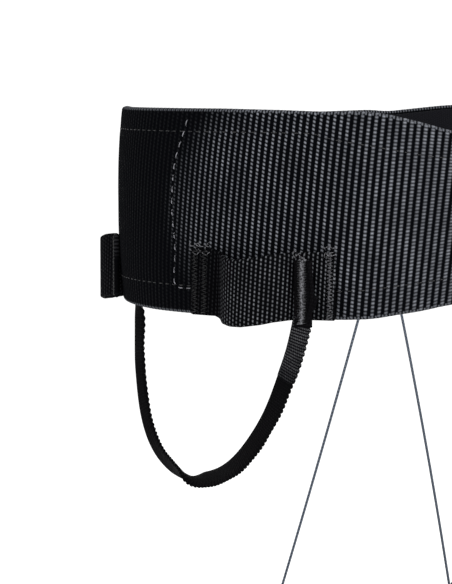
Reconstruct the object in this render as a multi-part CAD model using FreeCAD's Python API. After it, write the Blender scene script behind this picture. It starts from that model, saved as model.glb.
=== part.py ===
"""Climbing harness: waist belt, tie-in loops, belay loop, gear loops, risers and leg loops.

The wearer faces -Y, the wearer's left is +X and +Z is up. The origin is the centre of the
waist opening at half the belt's height. All sizes are in millimetres.
"""
import FreeCAD, Part
import math
import os

V = FreeCAD.Vector

# Waist belt: a ring of wide webbing that narrows towards the front, with foam and a lining inside
WAIST_SEMI_X = 149.5
WAIST_SEMI_Y = 117.0
BELT_HEIGHT = 75.0
BELT_THICKNESS = 2.2
BELT_LEFT_END = 82.0
BELT_FRONT_END = 36.0
TAPER_START_X = 85.0
FRONT_HEIGHT = 46.0
FOAM_THICKNESS = 3.0
LINER_THICKNESS = 1.0
LAYER_GAP = 0.1
FOAM_SETBACK = 4.0
LINER_SETBACK = 3.0

# Waist strap and its two-plate buckle, on the wearer's left of the front
STRAP_HEIGHT = 38.0
STRAP_LIFT = 4.0
STRAP_THICKNESS = 1.8
WAIST_BUCKLE_ARC = 60.0
WAIST_TAIL_END = 226.0
WAIST_KEEPER_ARCS = {"front": 169.0, "rear": 207.0}

# Buckle plates, given across the strap
PLATE_THICKNESS = 2.8
SLIDER_THICKNESS = 2.4
FRAME_HALF_LENGTH = 17.0
BUCKLE_SIDE = 7.0
STRAP_SLOT = (-13.0, -4.0)
LOOP_SLOT = (3.5, 10.5)
SLIDER_SPAN = (-16.5, 1.5)
SLIDER_SLOT = (-12.0, -3.5)
SLOT_CLEARANCE = 1.5
PLATE_LIFT = 0.6
SLIDER_LIFT = 4.0
EDGE_ROUND = 0.7

# Webbing on the belt's lower edge: tool-clip tunnels with the gear loop tapes beside them
TUNNEL_ARC_FRONT = -133.4
TUNNEL_ARC_REAR = -257.0
TUNNEL_HALF_LENGTH = 15.0
TUNNEL_RISE = 8.6
TUNNEL_LOW = -39.8
TUNNEL_HIGH = -15.2
TUNNEL_WEB = 1.8
TAPE_FROM_TUNNEL = 19.2
TAPE_SIDE_END = 30.0
TACK_SIDE_END = 28.3
TAPE_WIDTH = 7.0
TAPE_THICKNESS = 2.0
GEAR_LOOP_TOP = -42.0

# Tie-in loops and belay loop at the front
TIE_IN_THICKNESS = 2.4
TIE_IN_REACH = 15.8
UPPER_TIE_IN = (-19.0, 3.0)
LOWER_TIE_IN = (-99.0, -77.0)
LOWER_BACK_Y = -116.6
GUARD_THICKNESS = 0.8
BELAY_WIDTH = 16.0
BELAY_THICKNESS = 4.0
BELAY_INNER_RADIUS = 7.5
BELAY_BACK_Y = -118.4
BELAY_TOP_CENTRE = -2.5
BELAY_LOW_CENTRE = -99.0

# Rear of the belt: riser anchor and haul loop
ANCHOR_HALF_WIDTH = 13.0
ANCHOR_RANGE = (-36.7, -17.0)
HAUL_WIDTH = 15.0
HAUL_INNER_RADIUS = 6.0
HAUL_THICKNESS = 2.0
HAUL_TOP = 19.0
HAUL_CENTRE_Z = -8.0
HAUL_BASE_HEIGHT = 15.0

# Elastic riser cords from the belt's back to the leg loops
CORD_DIAMETER = 1.2
RISER_ROUTE = [(5.2, 118.5, -37.1), (29.4, 131.9, -128.0), (50.0, 145.9, -219.8)]

# Leg loops: tilted rings, each open at the front for its strap and buckle
LEG_CENTRE = V(92.0, 57.0, -222.0)
LEG_SEMI_X = 86.0
LEG_SEMI_Y = 95.0
LEG_HEIGHT = 56.0
LEG_TILT = 18.0
LEG_GAP = (22.0, 78.0)
LEG_STRAP_HEIGHT = 20.0
LEG_BUCKLE_ARC = 52.0
LEG_TAIL_END = 150.0
LEG_KEEPER_ARC = 118.0
LEG_TAB_ARC = -241.0
BRIDGE_X = (27.0, 47.0)
BRIDGE_THICKNESS = 2.2
BRIDGE_ROUTE = [(-116.6, -78.0), (-116.6, -92.0), (-106.0, -113.0), (-80.0, -136.0),
                (-48.0, -154.0), (-18.0, -167.5)]


class Ring:
    """An ellipse in plan. Arc lengths start at its front point and grow towards +X."""

    STEPS = 1440

    def __init__(self, semi_x, semi_y, centre_x=0.0, centre_y=0.0):
        self.semi_x = semi_x
        self.semi_y = semi_y
        self.centre = V(centre_x, centre_y, 0)
        self.lengths = [0.0]
        last = self.at_angle(0.0)
        for step in range(1, self.STEPS + 1):
            point = self.at_angle(step / self.STEPS)
            self.lengths.append(self.lengths[-1] + (point - last).Length)
            last = point
        self.perimeter = self.lengths[-1]

    def at_angle(self, turn):
        angle = 2.0 * math.pi * turn
        return V(self.semi_x * math.sin(angle), -self.semi_y * math.cos(angle), 0)

    def turn_at(self, arc):
        arc = arc % self.perimeter
        low, high = 0, self.STEPS
        while high - low > 1:
            middle = (low + high) // 2
            if self.lengths[middle] > arc:
                high = middle
            else:
                low = middle
        part = (arc - self.lengths[low]) / (self.lengths[high] - self.lengths[low])
        return (low + part) / self.STEPS

    def outward(self, arc):
        point = self.at_angle(self.turn_at(arc))
        normal = V(point.x / self.semi_x ** 2, point.y / self.semi_y ** 2, 0)
        return normal.normalize()

    def point(self, arc, offset=0.0):
        return self.centre + self.at_angle(self.turn_at(arc)) + self.outward(arc) * offset

    def local_point(self, arc, along, out):
        """A point beside the ring: along the tangent at an arc length, and outward from it."""
        normal = self.outward(arc)
        tangent = V(-normal.y, normal.x, 0)
        return self.point(arc) + tangent * along + normal * out

    def place(self, shape, arc):
        """Move a shape drawn at the front, with -Y outward, to an arc length on the ring."""
        normal = self.outward(arc)
        heading = math.degrees(math.atan2(normal.y, normal.x)) + 90.0
        shape = shape.copy()
        shape.rotate(V(0, 0, 0), V(0, 0, 1), heading)
        shape.translate(self.point(arc))
        return shape


WAIST = Ring(WAIST_SEMI_X, WAIST_SEMI_Y)
LEG = Ring(LEG_SEMI_X, LEG_SEMI_Y)


def smooth_edge(points, height):
    curve = Part.BSplineCurve()
    curve.interpolate([V(p.x, p.y, height) for p in points])
    return curve.toShape()


def upright_strip(first_side, second_side, low, high):
    """A closed solid between two smooth lines in plan, from one height to another."""
    sides = [smooth_edge(first_side, low), smooth_edge(second_side, low)]
    ends = []
    for index in (0, -1):
        start = V(first_side[index].x, first_side[index].y, low)
        end = V(second_side[index].x, second_side[index].y, low)
        ends.append(Part.makeLine(start, end))
    wire = Part.Wire(Part.__sortEdges__([sides[0], ends[1], sides[1], ends[0]]))
    return Part.Face(wire).extrude(V(0, 0, high - low))


def ring_strip(ring, arcs, offsets, heights):
    """Webbing that follows a ring between two arc lengths, offsets and heights."""
    count = max(5, int(abs(arcs[1] - arcs[0]) / 8.0))
    stations = [arcs[0] + (arcs[1] - arcs[0]) * k / count for k in range(count + 1)]
    inner = [ring.point(arc, offsets[0]) for arc in stations]
    outer = [ring.point(arc, offsets[1]) for arc in stations]
    return upright_strip(inner, outer, heights[0], heights[1])


def side_lines(points, thickness, samples, closed=False):
    """Two lines either side of a smooth centre line through the points."""
    curve = Part.BSplineCurve()
    curve.interpolate(Points=points, PeriodicFlag=closed)
    first, last = curve.FirstParameter, curve.LastParameter
    count = samples * len(points)
    left, right = [], []
    for k in range(count if closed else count + 1):
        parameter = first + (last - first) * k / count
        centre = curve.value(parameter)
        tangent = curve.tangent(parameter)[0]
        normal = V(-tangent.y, tangent.x, 0) * (thickness / 2.0)
        left.append(centre + normal)
        right.append(centre - normal)
    return left, right


def ribbon(points, thickness, low, high):
    """Webbing standing on edge along a smooth line in plan."""
    left, right = side_lines(points, thickness, 4)
    return upright_strip(left, right, low, high)


def closed_ribbon(points, thickness, low, high):
    """Webbing standing on edge round a closed smooth line in plan."""
    solids = []
    for side in side_lines(points, thickness, 4, closed=True):
        curve = Part.BSplineCurve()
        curve.interpolate(Points=[V(p.x, p.y, low) for p in side], PeriodicFlag=True)
        face = Part.Face(Part.Wire(curve.toShape()))
        solids.append(face.extrude(V(0, 0, high - low)))
    solids.sort(key=lambda solid: abs(solid.Volume))
    return solids[1].cut(solids[0]).Solids[0]


def rounded_plate(width, height, radius, centre_x=0.0):
    """A face in the XZ plane with rounded corners."""
    half_w, half_h = width / 2.0, height / 2.0
    edges = []
    corners = [(1, 1, 0), (-1, 1, 90), (-1, -1, 180), (1, -1, 270)]
    ends = []
    for sign_x, sign_z, start in corners:
        mid = V(centre_x + sign_x * (half_w - radius), 0, sign_z * (half_h - radius))
        arc_points = []
        for angle in (start, start + 45, start + 90):
            turn = math.radians(angle)
            arc_points.append(mid + V(radius * math.cos(turn), 0, radius * math.sin(turn)))
        edges.append(Part.Arc(*arc_points).toShape())
        ends.append((arc_points[0], arc_points[2]))
    for k in range(4):
        edges.append(Part.makeLine(ends[k][1], ends[(k + 1) % 4][0]))
    return Part.Face(Part.Wire(Part.__sortEdges__(edges)))


def slotted_plate(span, slots, height, slot_height, near, thickness):
    """A buckle plate facing -Y, with rounded slots across it and softened edges."""
    width = span[1] - span[0]
    face = rounded_plate(width, height, 4.0, (span[0] + span[1]) / 2.0)
    for slot in slots:
        hole = rounded_plate(slot[1] - slot[0], slot_height, 2.0, (slot[0] + slot[1]) / 2.0)
        face = face.cut(hole)
    solid = face.Faces[0].extrude(V(0, -thickness, 0))
    level = [edge for edge in solid.Edges
             if abs(edge.BoundBox.YMax - edge.BoundBox.YMin) < 0.01]
    solid = solid.makeFillet(EDGE_ROUND, level)
    solid.translate(V(0, -near, 0))
    return solid


def buckle_frame(strap_height):
    height = strap_height + 2.0 * BUCKLE_SIDE
    span = (-FRAME_HALF_LENGTH, FRAME_HALF_LENGTH)
    slot_height = strap_height + 2.0 * SLOT_CLEARANCE
    slots = [STRAP_SLOT, LOOP_SLOT]
    return slotted_plate(span, slots, height, slot_height, PLATE_LIFT, PLATE_THICKNESS)


def buckle_slider(strap_height):
    height = strap_height + 2.0 * BUCKLE_SIDE - 2.0
    slot_height = strap_height + 2.0 * SLOT_CLEARANCE
    return slotted_plate(SLIDER_SPAN, [SLIDER_SLOT], height, slot_height,
                         SLIDER_LIFT, SLIDER_THICKNESS)


def buckle_loop(ring, arc, strap_height, tail):
    """Webbing round the frame's end bar, with both layers sewn to the band behind it."""
    web = 1.5
    middle = PLATE_LIFT + PLATE_THICKNESS / 2.0
    radius = PLATE_THICKNESS / 2.0 + 0.35 + web / 2.0
    centre = LOOP_SLOT[1] - 0.4 - web / 2.0 + radius
    nose = []
    for turn in (90, 120, 150, 180, 210, 240, 270):
        angle = math.radians(turn)
        nose.append(ring.local_point(
            arc, centre + radius * math.cos(angle), middle + radius * math.sin(angle)))
    start = FRAME_HALF_LENGTH + 14.0
    sewn = [arc + start + (tail - start) * k / 3.0 for k in range(4)]
    outer_side = [ring.point(station, 0.4 + 1.5 * web + LAYER_GAP) for station in sewn[::-1]]
    outer_side.append(ring.local_point(arc, FRAME_HALF_LENGTH - 1.0, middle + radius))
    inner_side = [ring.local_point(arc, FRAME_HALF_LENGTH - 1.0, middle - radius)]
    inner_side += [ring.point(station, 0.4 + 0.5 * web) for station in sewn]
    upper = outer_side + nose + inner_side
    half = strap_height / 2.0
    return ribbon(upper, web, -half, half)


def buckled_strap(ring, arc, starts, tail_end, height, cruise):
    """A strap that comes from inside the band, out through both plates and back as a tail."""
    start_offset, start_arc = starts
    run = arc - 20.0 - start_arc
    steps = max(2, round(run / 9.0))
    points = [ring.point(start_arc + run * k / steps, start_offset) for k in range(steps + 1)]
    bend = [(-12.6, -1.9), (-9.2, -0.2), (-8.0, 2.6), (-8.0, 5.4), (-5.8, 7.6),
            (-1.5, 8.3), (6.0, 8.0), (16.0, 7.0)]
    points += [ring.local_point(arc, along, out) for along, out in bend]
    points += [ring.point(arc + 32.0, cruise + 2.4), ring.point(arc + 48.0, cruise)]
    station = arc + 60.0
    while station < tail_end - 8.0:
        points.append(ring.point(station, cruise))
        station += 12.0
    points.append(ring.point(tail_end, cruise))
    half = height / 2.0
    return ribbon(points, STRAP_THICKNESS, -half, half)


def keeper(ring, arc, strap_height, cruise):
    """An elastic band over a strap's tail, with its back layer on the belt."""
    low, high = 0.2, cruise + STRAP_THICKNESS / 2.0 + 0.3
    outer = ring_strip(ring, (arc - 5.0, arc + 5.0), (low, high + 1.1),
                       (-strap_height / 2.0 - 1.6, strap_height / 2.0 + 1.6))
    hollow = ring_strip(ring, (arc - 6.0, arc + 6.0), (low + 1.0, high),
                        (-strap_height / 2.0 - 0.5, strap_height / 2.0 + 0.5))
    return outer.cut(hollow)


def taper_cutter():
    """The space above and below the belt where it narrows towards the front."""
    half, front, far = BELT_HEIGHT / 2.0, FRONT_HEIGHT / 2.0, BELT_HEIGHT
    cutters = []
    for side in (-1, 1):
        outline = [V(-TAPER_START_X, 0, side * half), V(0, 0, side * front),
                   V(TAPER_START_X, 0, side * half), V(TAPER_START_X, 0, side * far),
                   V(-TAPER_START_X, 0, side * far), V(-TAPER_START_X, 0, side * half)]
        face = Part.Face(Part.makePolygon(outline))
        cutters.append(face.extrude(V(0, -2.0 * WAIST_SEMI_Y, 0)))
    return cutters


def belt_layer(arcs, offsets, setback):
    """One layer of the waist belt, narrowed at the front and set back from the edges."""
    half = BELT_HEIGHT / 2.0 - setback
    layer = ring_strip(WAIST, arcs, offsets, (-half, half))
    for cutter, side in zip(taper_cutter(), (-1, 1)):
        cutter.translate(V(0, 0, -side * setback))
        layer = layer.cut(cutter)
    return layer.Solids[0]


def waist_belt():
    """The outer webbing, the foam and the lining, open at the front for the buckle."""
    foam_outer = -BELT_THICKNESS - LAYER_GAP
    liner_outer = foam_outer - FOAM_THICKNESS - LAYER_GAP
    end = WAIST.perimeter + BELT_FRONT_END
    return {
        "waist_belt_webbing": belt_layer(
            (BELT_LEFT_END, end), (-BELT_THICKNESS, 0.0), 0.0),
        "waist_belt_foam": belt_layer(
            (BELT_LEFT_END + 6.0, end - 62.0),
            (foam_outer - FOAM_THICKNESS, foam_outer), FOAM_SETBACK),
        "waist_belt_lining": belt_layer(
            (BELT_LEFT_END + 5.0, end - 61.0),
            (liner_outer - LINER_THICKNESS, liner_outer), LINER_SETBACK),
    }


def waist_closure():
    """The waist strap, its buckle and the keepers that hold the strap's tail."""
    start = (-BELT_THICKNESS - LAYER_GAP - STRAP_THICKNESS / 2.0, 8.0)
    cruise = 4.6
    parts = {
        "waist_strap": buckled_strap(
            WAIST, WAIST_BUCKLE_ARC, start, WAIST_TAIL_END, STRAP_HEIGHT, cruise),
        "waist_buckle_frame": WAIST.place(buckle_frame(STRAP_HEIGHT), WAIST_BUCKLE_ARC),
        "waist_buckle_slider": WAIST.place(buckle_slider(STRAP_HEIGHT), WAIST_BUCKLE_ARC),
        "waist_buckle_loop": buckle_loop(WAIST, WAIST_BUCKLE_ARC, STRAP_HEIGHT, 43.0),
    }
    for name, arc in WAIST_KEEPER_ARCS.items():
        parts["waist_keeper_" + name] = keeper(WAIST, arc, STRAP_HEIGHT, cruise)
    for solid in parts.values():
        solid.translate(V(0, 0, STRAP_LIFT))
    return parts


def tunnel_outline(centre, ends):
    """The centre line of the lower edge webbing, which bulges into a tool-clip tunnel."""
    flat = 0.3 + TUNNEL_WEB / 2.0
    rising = [(TUNNEL_HALF_LENGTH, flat), (TUNNEL_HALF_LENGTH - 2.5, 3.2),
              (TUNNEL_HALF_LENGTH - 7.5, TUNNEL_RISE - 1.7)]
    bulge = [(-along, out) for along, out in rising]
    bulge += [(0.0, TUNNEL_RISE)] + rising[::-1]
    feet = []
    for end, side in zip(ends, (-1, 1)):
        near = side * TUNNEL_HALF_LENGTH
        feet.append([(near + (end - near) * part, flat) for part in (0.2, 0.6, 1.0)])
    line = feet[0][::-1] + bulge + feet[1]
    return [WAIST.point(centre + along, out) for along, out in line]


def tape_arc(centre, towards_front):
    return centre + TAPE_FROM_TUNNEL * (1 if towards_front else -1)


def hip_side():
    """Everything sewn to the belt's lower edge on the wearer's right, and the gear loop."""
    parts = {}
    layout = {"front": (TUNNEL_ARC_FRONT, True), "rear": (TUNNEL_ARC_REAR, False)}
    for name, (centre, towards_front) in layout.items():
        ends = (-TACK_SIDE_END, TAPE_SIDE_END) if towards_front else (-TAPE_SIDE_END, TACK_SIDE_END)
        parts["clip_tunnel_" + name] = ribbon(
            tunnel_outline(centre, ends), TUNNEL_WEB, TUNNEL_LOW, TUNNEL_HIGH)
        arc = tape_arc(centre, towards_front)
        over = 0.3 + TUNNEL_WEB + 0.2
        parts["gear_loop_end_" + name] = ring_strip(
            WAIST, (arc - TAPE_WIDTH / 2.0, arc + TAPE_WIDTH / 2.0),
            (over, over + TAPE_THICKNESS), (GEAR_LOOP_TOP + 1.4, TUNNEL_HIGH - 2.0))
    parts["gear_loop"] = gear_loop()
    return parts


def gear_loop_frame():
    """The gear loop's two sewn points, its direction along the hip and its length."""
    out = 0.3 + TUNNEL_WEB + 0.2 + TAPE_THICKNESS / 2.0
    rear = WAIST.point(tape_arc(TUNNEL_ARC_REAR, False), out)
    front = WAIST.point(tape_arc(TUNNEL_ARC_FRONT, True), out)
    along = front - rear
    return rear, along.normalize(), (front - rear).Length


def gear_loop():
    """A flat tape in a long U, deepest behind its middle, in a vertical plane."""
    rear, along, length = gear_loop_frame()
    line = [(4.0, -41.0), (8.0, -53.0), (9.0, -68.0), (13.0, -84.0), (21.0, -95.8), (33.0, -102.8),
            (57.0, -107.2), (85.5, -101.8), (112.0, -86.3), (130.5, -67.5), (142.5, -51.5),
            (length, -41.0)]
    flat_line = [V(u, z, 0) for u, z in line]
    half = TAPE_THICKNESS / 2.0
    tape = ribbon(flat_line, TAPE_WIDTH - 1.0, -half, half)
    tape = tape.common(Part.makeBox(400, 200, 40, V(-100, GEAR_LOOP_TOP - 200, -20)))
    tape.rotate(V(0, 0, 0), V(1, 0, 0), 90)
    tape.rotate(V(0, 0, 0), V(0, 0, 1), math.degrees(math.atan2(along.y, along.x)))
    tape.translate(rear)
    return tape.Solids[0]


def tie_in_bulge(back_points):
    """The centre line of a tie-in loop's front layer, between the given end points."""
    left = [V(-p.x, p.y, 0) for p in reversed(back_points)]
    reach = -WAIST_SEMI_Y - TIE_IN_REACH
    right = [V(7.0, reach + 0.5, 0), V(12.5, reach + 3.3, 0), V(17.0, reach + 9.6, 0)]
    middle = [V(-p.x, p.y, 0) for p in reversed(right)] + [V(0.0, reach, 0)] + right
    return left + middle + back_points


def tie_in_loops():
    """The belt's tie-in loop, the leg loops' tie-in loop and a wear guard inside each."""
    clear = TIE_IN_THICKNESS / 2.0 + 0.2
    feet = [WAIST.point(21.0, clear + 1.0), WAIST.point(25.0, clear), WAIST.point(29.0, clear),
            WAIST.point(34.0, clear)]
    upper = tie_in_bulge(feet)
    guard_line = [V(p.x, p.y + TIE_IN_THICKNESS / 2.0 + GUARD_THICKNESS / 2.0 + 0.3, 0)
                  for p in upper if abs(p.x) < 8.0]
    reach = -WAIST_SEMI_Y - TIE_IN_REACH
    right = [V(8.0, reach + 0.6, 0), V(14.5, reach + 3.4, 0), V(19.5, reach + 7.6, 0),
             V(22.3, -121.2, 0), V(21.3, -117.9, 0), V(17.5, LOWER_BACK_Y, 0),
             V(9.0, LOWER_BACK_Y, 0)]
    left = [V(-p.x, p.y, 0) for p in reversed(right)]
    lower = [V(0.0, reach, 0)] + right + [V(0.0, LOWER_BACK_Y, 0)] + left
    return {
        "upper_tie_in_loop": ribbon(upper, TIE_IN_THICKNESS, *UPPER_TIE_IN),
        "upper_wear_guard": ribbon(guard_line, GUARD_THICKNESS, *UPPER_TIE_IN),
        "lower_tie_in_loop": closed_ribbon(lower, TIE_IN_THICKNESS, *LOWER_TIE_IN),
        "lower_wear_guard": ribbon(guard_line, GUARD_THICKNESS, *LOWER_TIE_IN),
    }


def stadium(y_low, y_high, z_low, z_high, x):
    """A wire in a plane across X: two straight sides and two half circles."""
    radius, middle = (y_high - y_low) / 2.0, (y_low + y_high) / 2.0
    top = Part.Arc(V(x, y_low, z_high), V(x, middle, z_high + radius), V(x, y_high, z_high))
    foot = Part.Arc(V(x, y_high, z_low), V(x, middle, z_low - radius), V(x, y_low, z_low))
    sides = [Part.makeLine(V(x, y_high, z_high), V(x, y_high, z_low)),
             Part.makeLine(V(x, y_low, z_low), V(x, y_low, z_high))]
    return Part.Wire([top.toShape(), sides[0], foot.toShape(), sides[1]])


def belay_loop():
    reach = 2.0 * (BELAY_INNER_RADIUS + BELAY_THICKNESS)
    front, back = BELAY_BACK_Y - reach, BELAY_BACK_Y
    x = -BELAY_WIDTH / 2.0
    outer = Part.Face(stadium(front, back, BELAY_LOW_CENTRE, BELAY_TOP_CENTRE, x))
    inner = Part.Face(stadium(front + BELAY_THICKNESS, back - BELAY_THICKNESS,
                              BELAY_LOW_CENTRE, BELAY_TOP_CENTRE, x))
    return outer.cut(inner).Faces[0].extrude(V(BELAY_WIDTH, 0, 0))


def haul_loop():
    """A hanging ring of webbing: a half-round foot whose two sides meet at the seam."""
    outer_radius = HAUL_INNER_RADIUS + HAUL_THICKNESS
    back = WAIST_SEMI_Y + 1.4
    middle = back + outer_radius
    bend = HAUL_CENTRE_Z + 7.0
    x = -HAUL_WIDTH / 2.0
    corners = [V(x, back, HAUL_CENTRE_Z), V(x, back, HAUL_TOP), V(x, back + 4.0, HAUL_TOP),
               V(x, back + 4.4, HAUL_TOP - 6.5), V(x, back + 2.0 * outer_radius, bend),
               V(x, back + 2.0 * outer_radius, HAUL_CENTRE_Z)]
    foot = Part.Arc(corners[-1], V(x, middle, HAUL_CENTRE_Z - outer_radius), corners[0])
    edges = [Part.makeLine(start, end) for start, end in zip(corners, corners[1:])]
    inner_corners = [V(x, back + HAUL_THICKNESS, HAUL_CENTRE_Z),
                     V(x, back + HAUL_THICKNESS, HAUL_TOP - 9.0),
                     V(x, middle + HAUL_INNER_RADIUS, bend),
                     V(x, middle + HAUL_INNER_RADIUS, HAUL_CENTRE_Z)]
    inner_foot = Part.Arc(inner_corners[-1], V(x, middle, HAUL_CENTRE_Z - HAUL_INNER_RADIUS),
                          inner_corners[0])
    inner = [Part.makeLine(start, end) for start, end in zip(inner_corners, inner_corners[1:])]
    face = Part.Face(Part.Wire(edges + [foot.toShape()]))
    hole = Part.Face(Part.Wire(inner + [inner_foot.toShape()]))
    return face.cut(hole).Faces[0].extrude(V(HAUL_WIDTH, 0, 0))


def belt_rear():
    """The haul loop with its sewn base, and the patch that the riser cords come out of."""
    half = WAIST.perimeter / 2.0
    base_low = HAUL_TOP + 1.9
    return {
        "haul_loop": haul_loop(),
        "haul_loop_base": ring_strip(
            WAIST, (half - 12.5, half + 12.5), (0.2, 2.4), (base_low, base_low + HAUL_BASE_HEIGHT)),
        "riser_anchor": ring_strip(
            WAIST, (half - ANCHOR_HALF_WIDTH, half + ANCHOR_HALF_WIDTH), (0.2, 2.8), ANCHOR_RANGE),
    }


def riser_cord():
    """A taut elastic cord: long straight runs joined by one large tangent arc."""
    start, corner, end = [V(*point) for point in RISER_ROUTE]
    into, out = (corner - start), (end - corner)
    turn = into.getAngle(out)
    shorter = min(into.Length, out.Length)
    radius = 0.45 * shorter / math.tan(turn / 2.0)
    reach = 0.45 * shorter
    print("riser cord: turn %.1f deg, radius %.0f mm" % (math.degrees(turn), radius))
    into_dir, out_dir = V(into).normalize(), V(out).normalize()
    first, second = corner - into_dir * reach, corner + out_dir * reach
    bisector = (out_dir - into_dir).normalize()
    sag = radius / math.cos(turn / 2.0) - radius
    middle = corner + bisector * sag
    path = Part.Wire([Part.makeLine(start, first), Part.Arc(first, middle, second).toShape(),
                      Part.makeLine(second, end)])
    circle = Part.Wire(Part.makeCircle(CORD_DIAMETER / 2.0, start, into_dir))
    cord = path.makePipeShell([circle], True, False)
    print("riser cord: length %.1f mm, volume ratio %.4f" % (
        path.Length, cord.Volume / (path.Length * math.pi * CORD_DIAMETER ** 2 / 4.0)))
    return cord


def leg_band(offsets, setback):
    half = LEG_HEIGHT / 2.0 - setback
    arcs = (LEG_GAP[1] + setback, LEG.perimeter + LEG_GAP[0] - setback)
    return ring_strip(LEG, arcs, offsets, (-half, half))


def bridge():
    """The webbing that joins a leg loop to the lower tie-in loop."""
    line = [V(y, z, 0) for y, z in BRIDGE_ROUTE]
    strip = ribbon(line, BRIDGE_THICKNESS, *BRIDGE_X)
    matrix = FreeCAD.Matrix(0, 0, 1, 0, 1, 0, 0, 0, 0, 1, 0, 0, 0, 0, 0, 1)
    return strip.transformGeometry(matrix)


def leg_loop():
    """One leg loop, for the wearer's left leg."""
    foam_outer = -BELT_THICKNESS - LAYER_GAP
    liner_outer = foam_outer - FOAM_THICKNESS - LAYER_GAP
    cruise = 4.2
    start = (0.2 + STRAP_THICKNESS / 2.0, -26.0)
    level = {
        "leg_webbing": leg_band((-BELT_THICKNESS, 0.0), 0.0),
        "leg_foam": leg_band((foam_outer - FOAM_THICKNESS, foam_outer), FOAM_SETBACK),
        "leg_lining": leg_band((liner_outer - LINER_THICKNESS, liner_outer), LINER_SETBACK),
        "leg_strap": buckled_strap(
            LEG, LEG_BUCKLE_ARC, start, LEG_TAIL_END, LEG_STRAP_HEIGHT, cruise),
        "leg_buckle_frame": LEG.place(buckle_frame(LEG_STRAP_HEIGHT), LEG_BUCKLE_ARC),
        "leg_buckle_slider": LEG.place(buckle_slider(LEG_STRAP_HEIGHT), LEG_BUCKLE_ARC),
        "leg_buckle_loop": buckle_loop(LEG, LEG_BUCKLE_ARC, LEG_STRAP_HEIGHT, 40.0),
        "leg_keeper": keeper(LEG, LEG_KEEPER_ARC, LEG_STRAP_HEIGHT, cruise),
        "riser_tab": ring_strip(LEG, (LEG_TAB_ARC - 8.0, LEG_TAB_ARC + 8.0), (0.2, 2.2),
                                (4.0, LEG_HEIGHT / 2.0 + 1.0)),
    }
    parts = {}
    for name, solid in level.items():
        solid.rotate(V(0, 0, 0), V(1, 0, 0), -LEG_TILT)
        solid.translate(LEG_CENTRE)
        parts[name] = solid
    parts["leg_bridge"] = bridge()
    parts["riser_cord"] = riser_cord()
    return parts


def mirrored(solid):
    return solid.mirror(V(0, 0, 0), V(1, 0, 0))


def build():
    parts = {}
    parts.update(waist_belt())
    parts.update(waist_closure())
    parts.update(tie_in_loops())
    parts["belay_loop"] = belay_loop()
    parts.update(belt_rear())
    for name, solid in hip_side().items():
        parts[name + "_right"] = solid
        parts[name + "_left"] = mirrored(solid)
    for name, solid in leg_loop().items():
        parts[name + "_left"] = solid
        parts[name + "_right"] = mirrored(solid)
    return parts


def report_slider_axes():
    """Print the directions that the record's slide joints use."""
    for name, ring, arc in (("waist", WAIST, WAIST_BUCKLE_ARC), ("leg", LEG, LEG_BUCKLE_ARC)):
        normal = ring.outward(arc)
        print(name, "buckle centre", ring.point(arc), "tangent", V(-normal.y, normal.x, 0))
    rear, along, length = gear_loop_frame()
    print("gear loop", rear, along, length)


os.makedirs("parts", exist_ok=True)
for node, solid in build().items():
    solid.exportStep("parts/" + node + ".step")
report_slider_axes()
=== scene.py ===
"""Climbing harness: the visual model on its CAD frame. Lengths below are in millimetres
until a mesh is made. Arc lengths run round a ring from its front point towards +X."""
import math

import bpy
import numpy as np
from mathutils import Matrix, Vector


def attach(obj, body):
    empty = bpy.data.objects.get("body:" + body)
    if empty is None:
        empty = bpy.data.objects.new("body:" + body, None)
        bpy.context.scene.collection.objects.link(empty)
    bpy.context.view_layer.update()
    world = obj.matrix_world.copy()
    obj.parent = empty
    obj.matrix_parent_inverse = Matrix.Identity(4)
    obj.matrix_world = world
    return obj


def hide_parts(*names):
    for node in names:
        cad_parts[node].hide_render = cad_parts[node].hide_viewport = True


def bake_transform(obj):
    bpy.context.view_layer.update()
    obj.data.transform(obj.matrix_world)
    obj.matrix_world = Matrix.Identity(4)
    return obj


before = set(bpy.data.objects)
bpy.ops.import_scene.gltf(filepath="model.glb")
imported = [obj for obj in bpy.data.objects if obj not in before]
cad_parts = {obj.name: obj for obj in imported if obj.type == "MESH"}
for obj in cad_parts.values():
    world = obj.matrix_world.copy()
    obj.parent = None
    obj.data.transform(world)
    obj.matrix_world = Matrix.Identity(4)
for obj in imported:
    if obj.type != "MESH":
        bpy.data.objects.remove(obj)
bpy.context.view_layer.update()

MM = 0.001
UP = np.array((0.0, 0.0, 1.0))
SIDES = {"left": 1.0, "right": -1.0}


# ------------ lines and rings

class Ring:
    """An ellipse in plan, with the arc length along it."""

    def __init__(self, semi_x, semi_y):
        self.semi_x, self.semi_y = semi_x, semi_y
        self.turns = np.linspace(-math.pi / 2, 1.5 * math.pi, 7201)
        x, y = semi_x * np.cos(self.turns), semi_y * np.sin(self.turns)
        self.lengths = np.r_[0.0, np.cumsum(np.hypot(np.diff(x), np.diff(y)))]
        self.perimeter = self.lengths[-1]

    def outward(self, arc):
        turn = np.interp(np.mod(arc, self.perimeter), self.lengths, self.turns)
        n = np.stack([np.cos(turn) / self.semi_x, np.sin(turn) / self.semi_y, 0 * turn], -1)
        return n / np.linalg.norm(n, axis=-1, keepdims=True)

    def tangent(self, arc):
        n = self.outward(arc)
        return np.stack([-n[..., 1], n[..., 0], 0 * n[..., 0]], -1)

    def point(self, arc, offset=0.0, height=0.0):
        arc, offset, height = np.broadcast_arrays(
            *[np.asarray(v, float) for v in (arc, offset, height)])
        turn = np.interp(np.mod(arc, self.perimeter), self.lengths, self.turns)
        on = np.stack([self.semi_x * np.cos(turn), self.semi_y * np.sin(turn), 0 * turn], -1)
        return on + self.outward(arc) * offset[..., None] + UP * height[..., None]

    def local(self, arc, along, out, height=0.0):
        return self.point(arc, out, height) + self.tangent(arc) * along


WAIST = Ring(149.5, 117.0)
LEG = Ring(86.0, 95.0)
LEG_CENTRE = np.array((92.0, 57.0, -222.0))
LEG_TILT = math.radians(-18.0)


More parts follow.
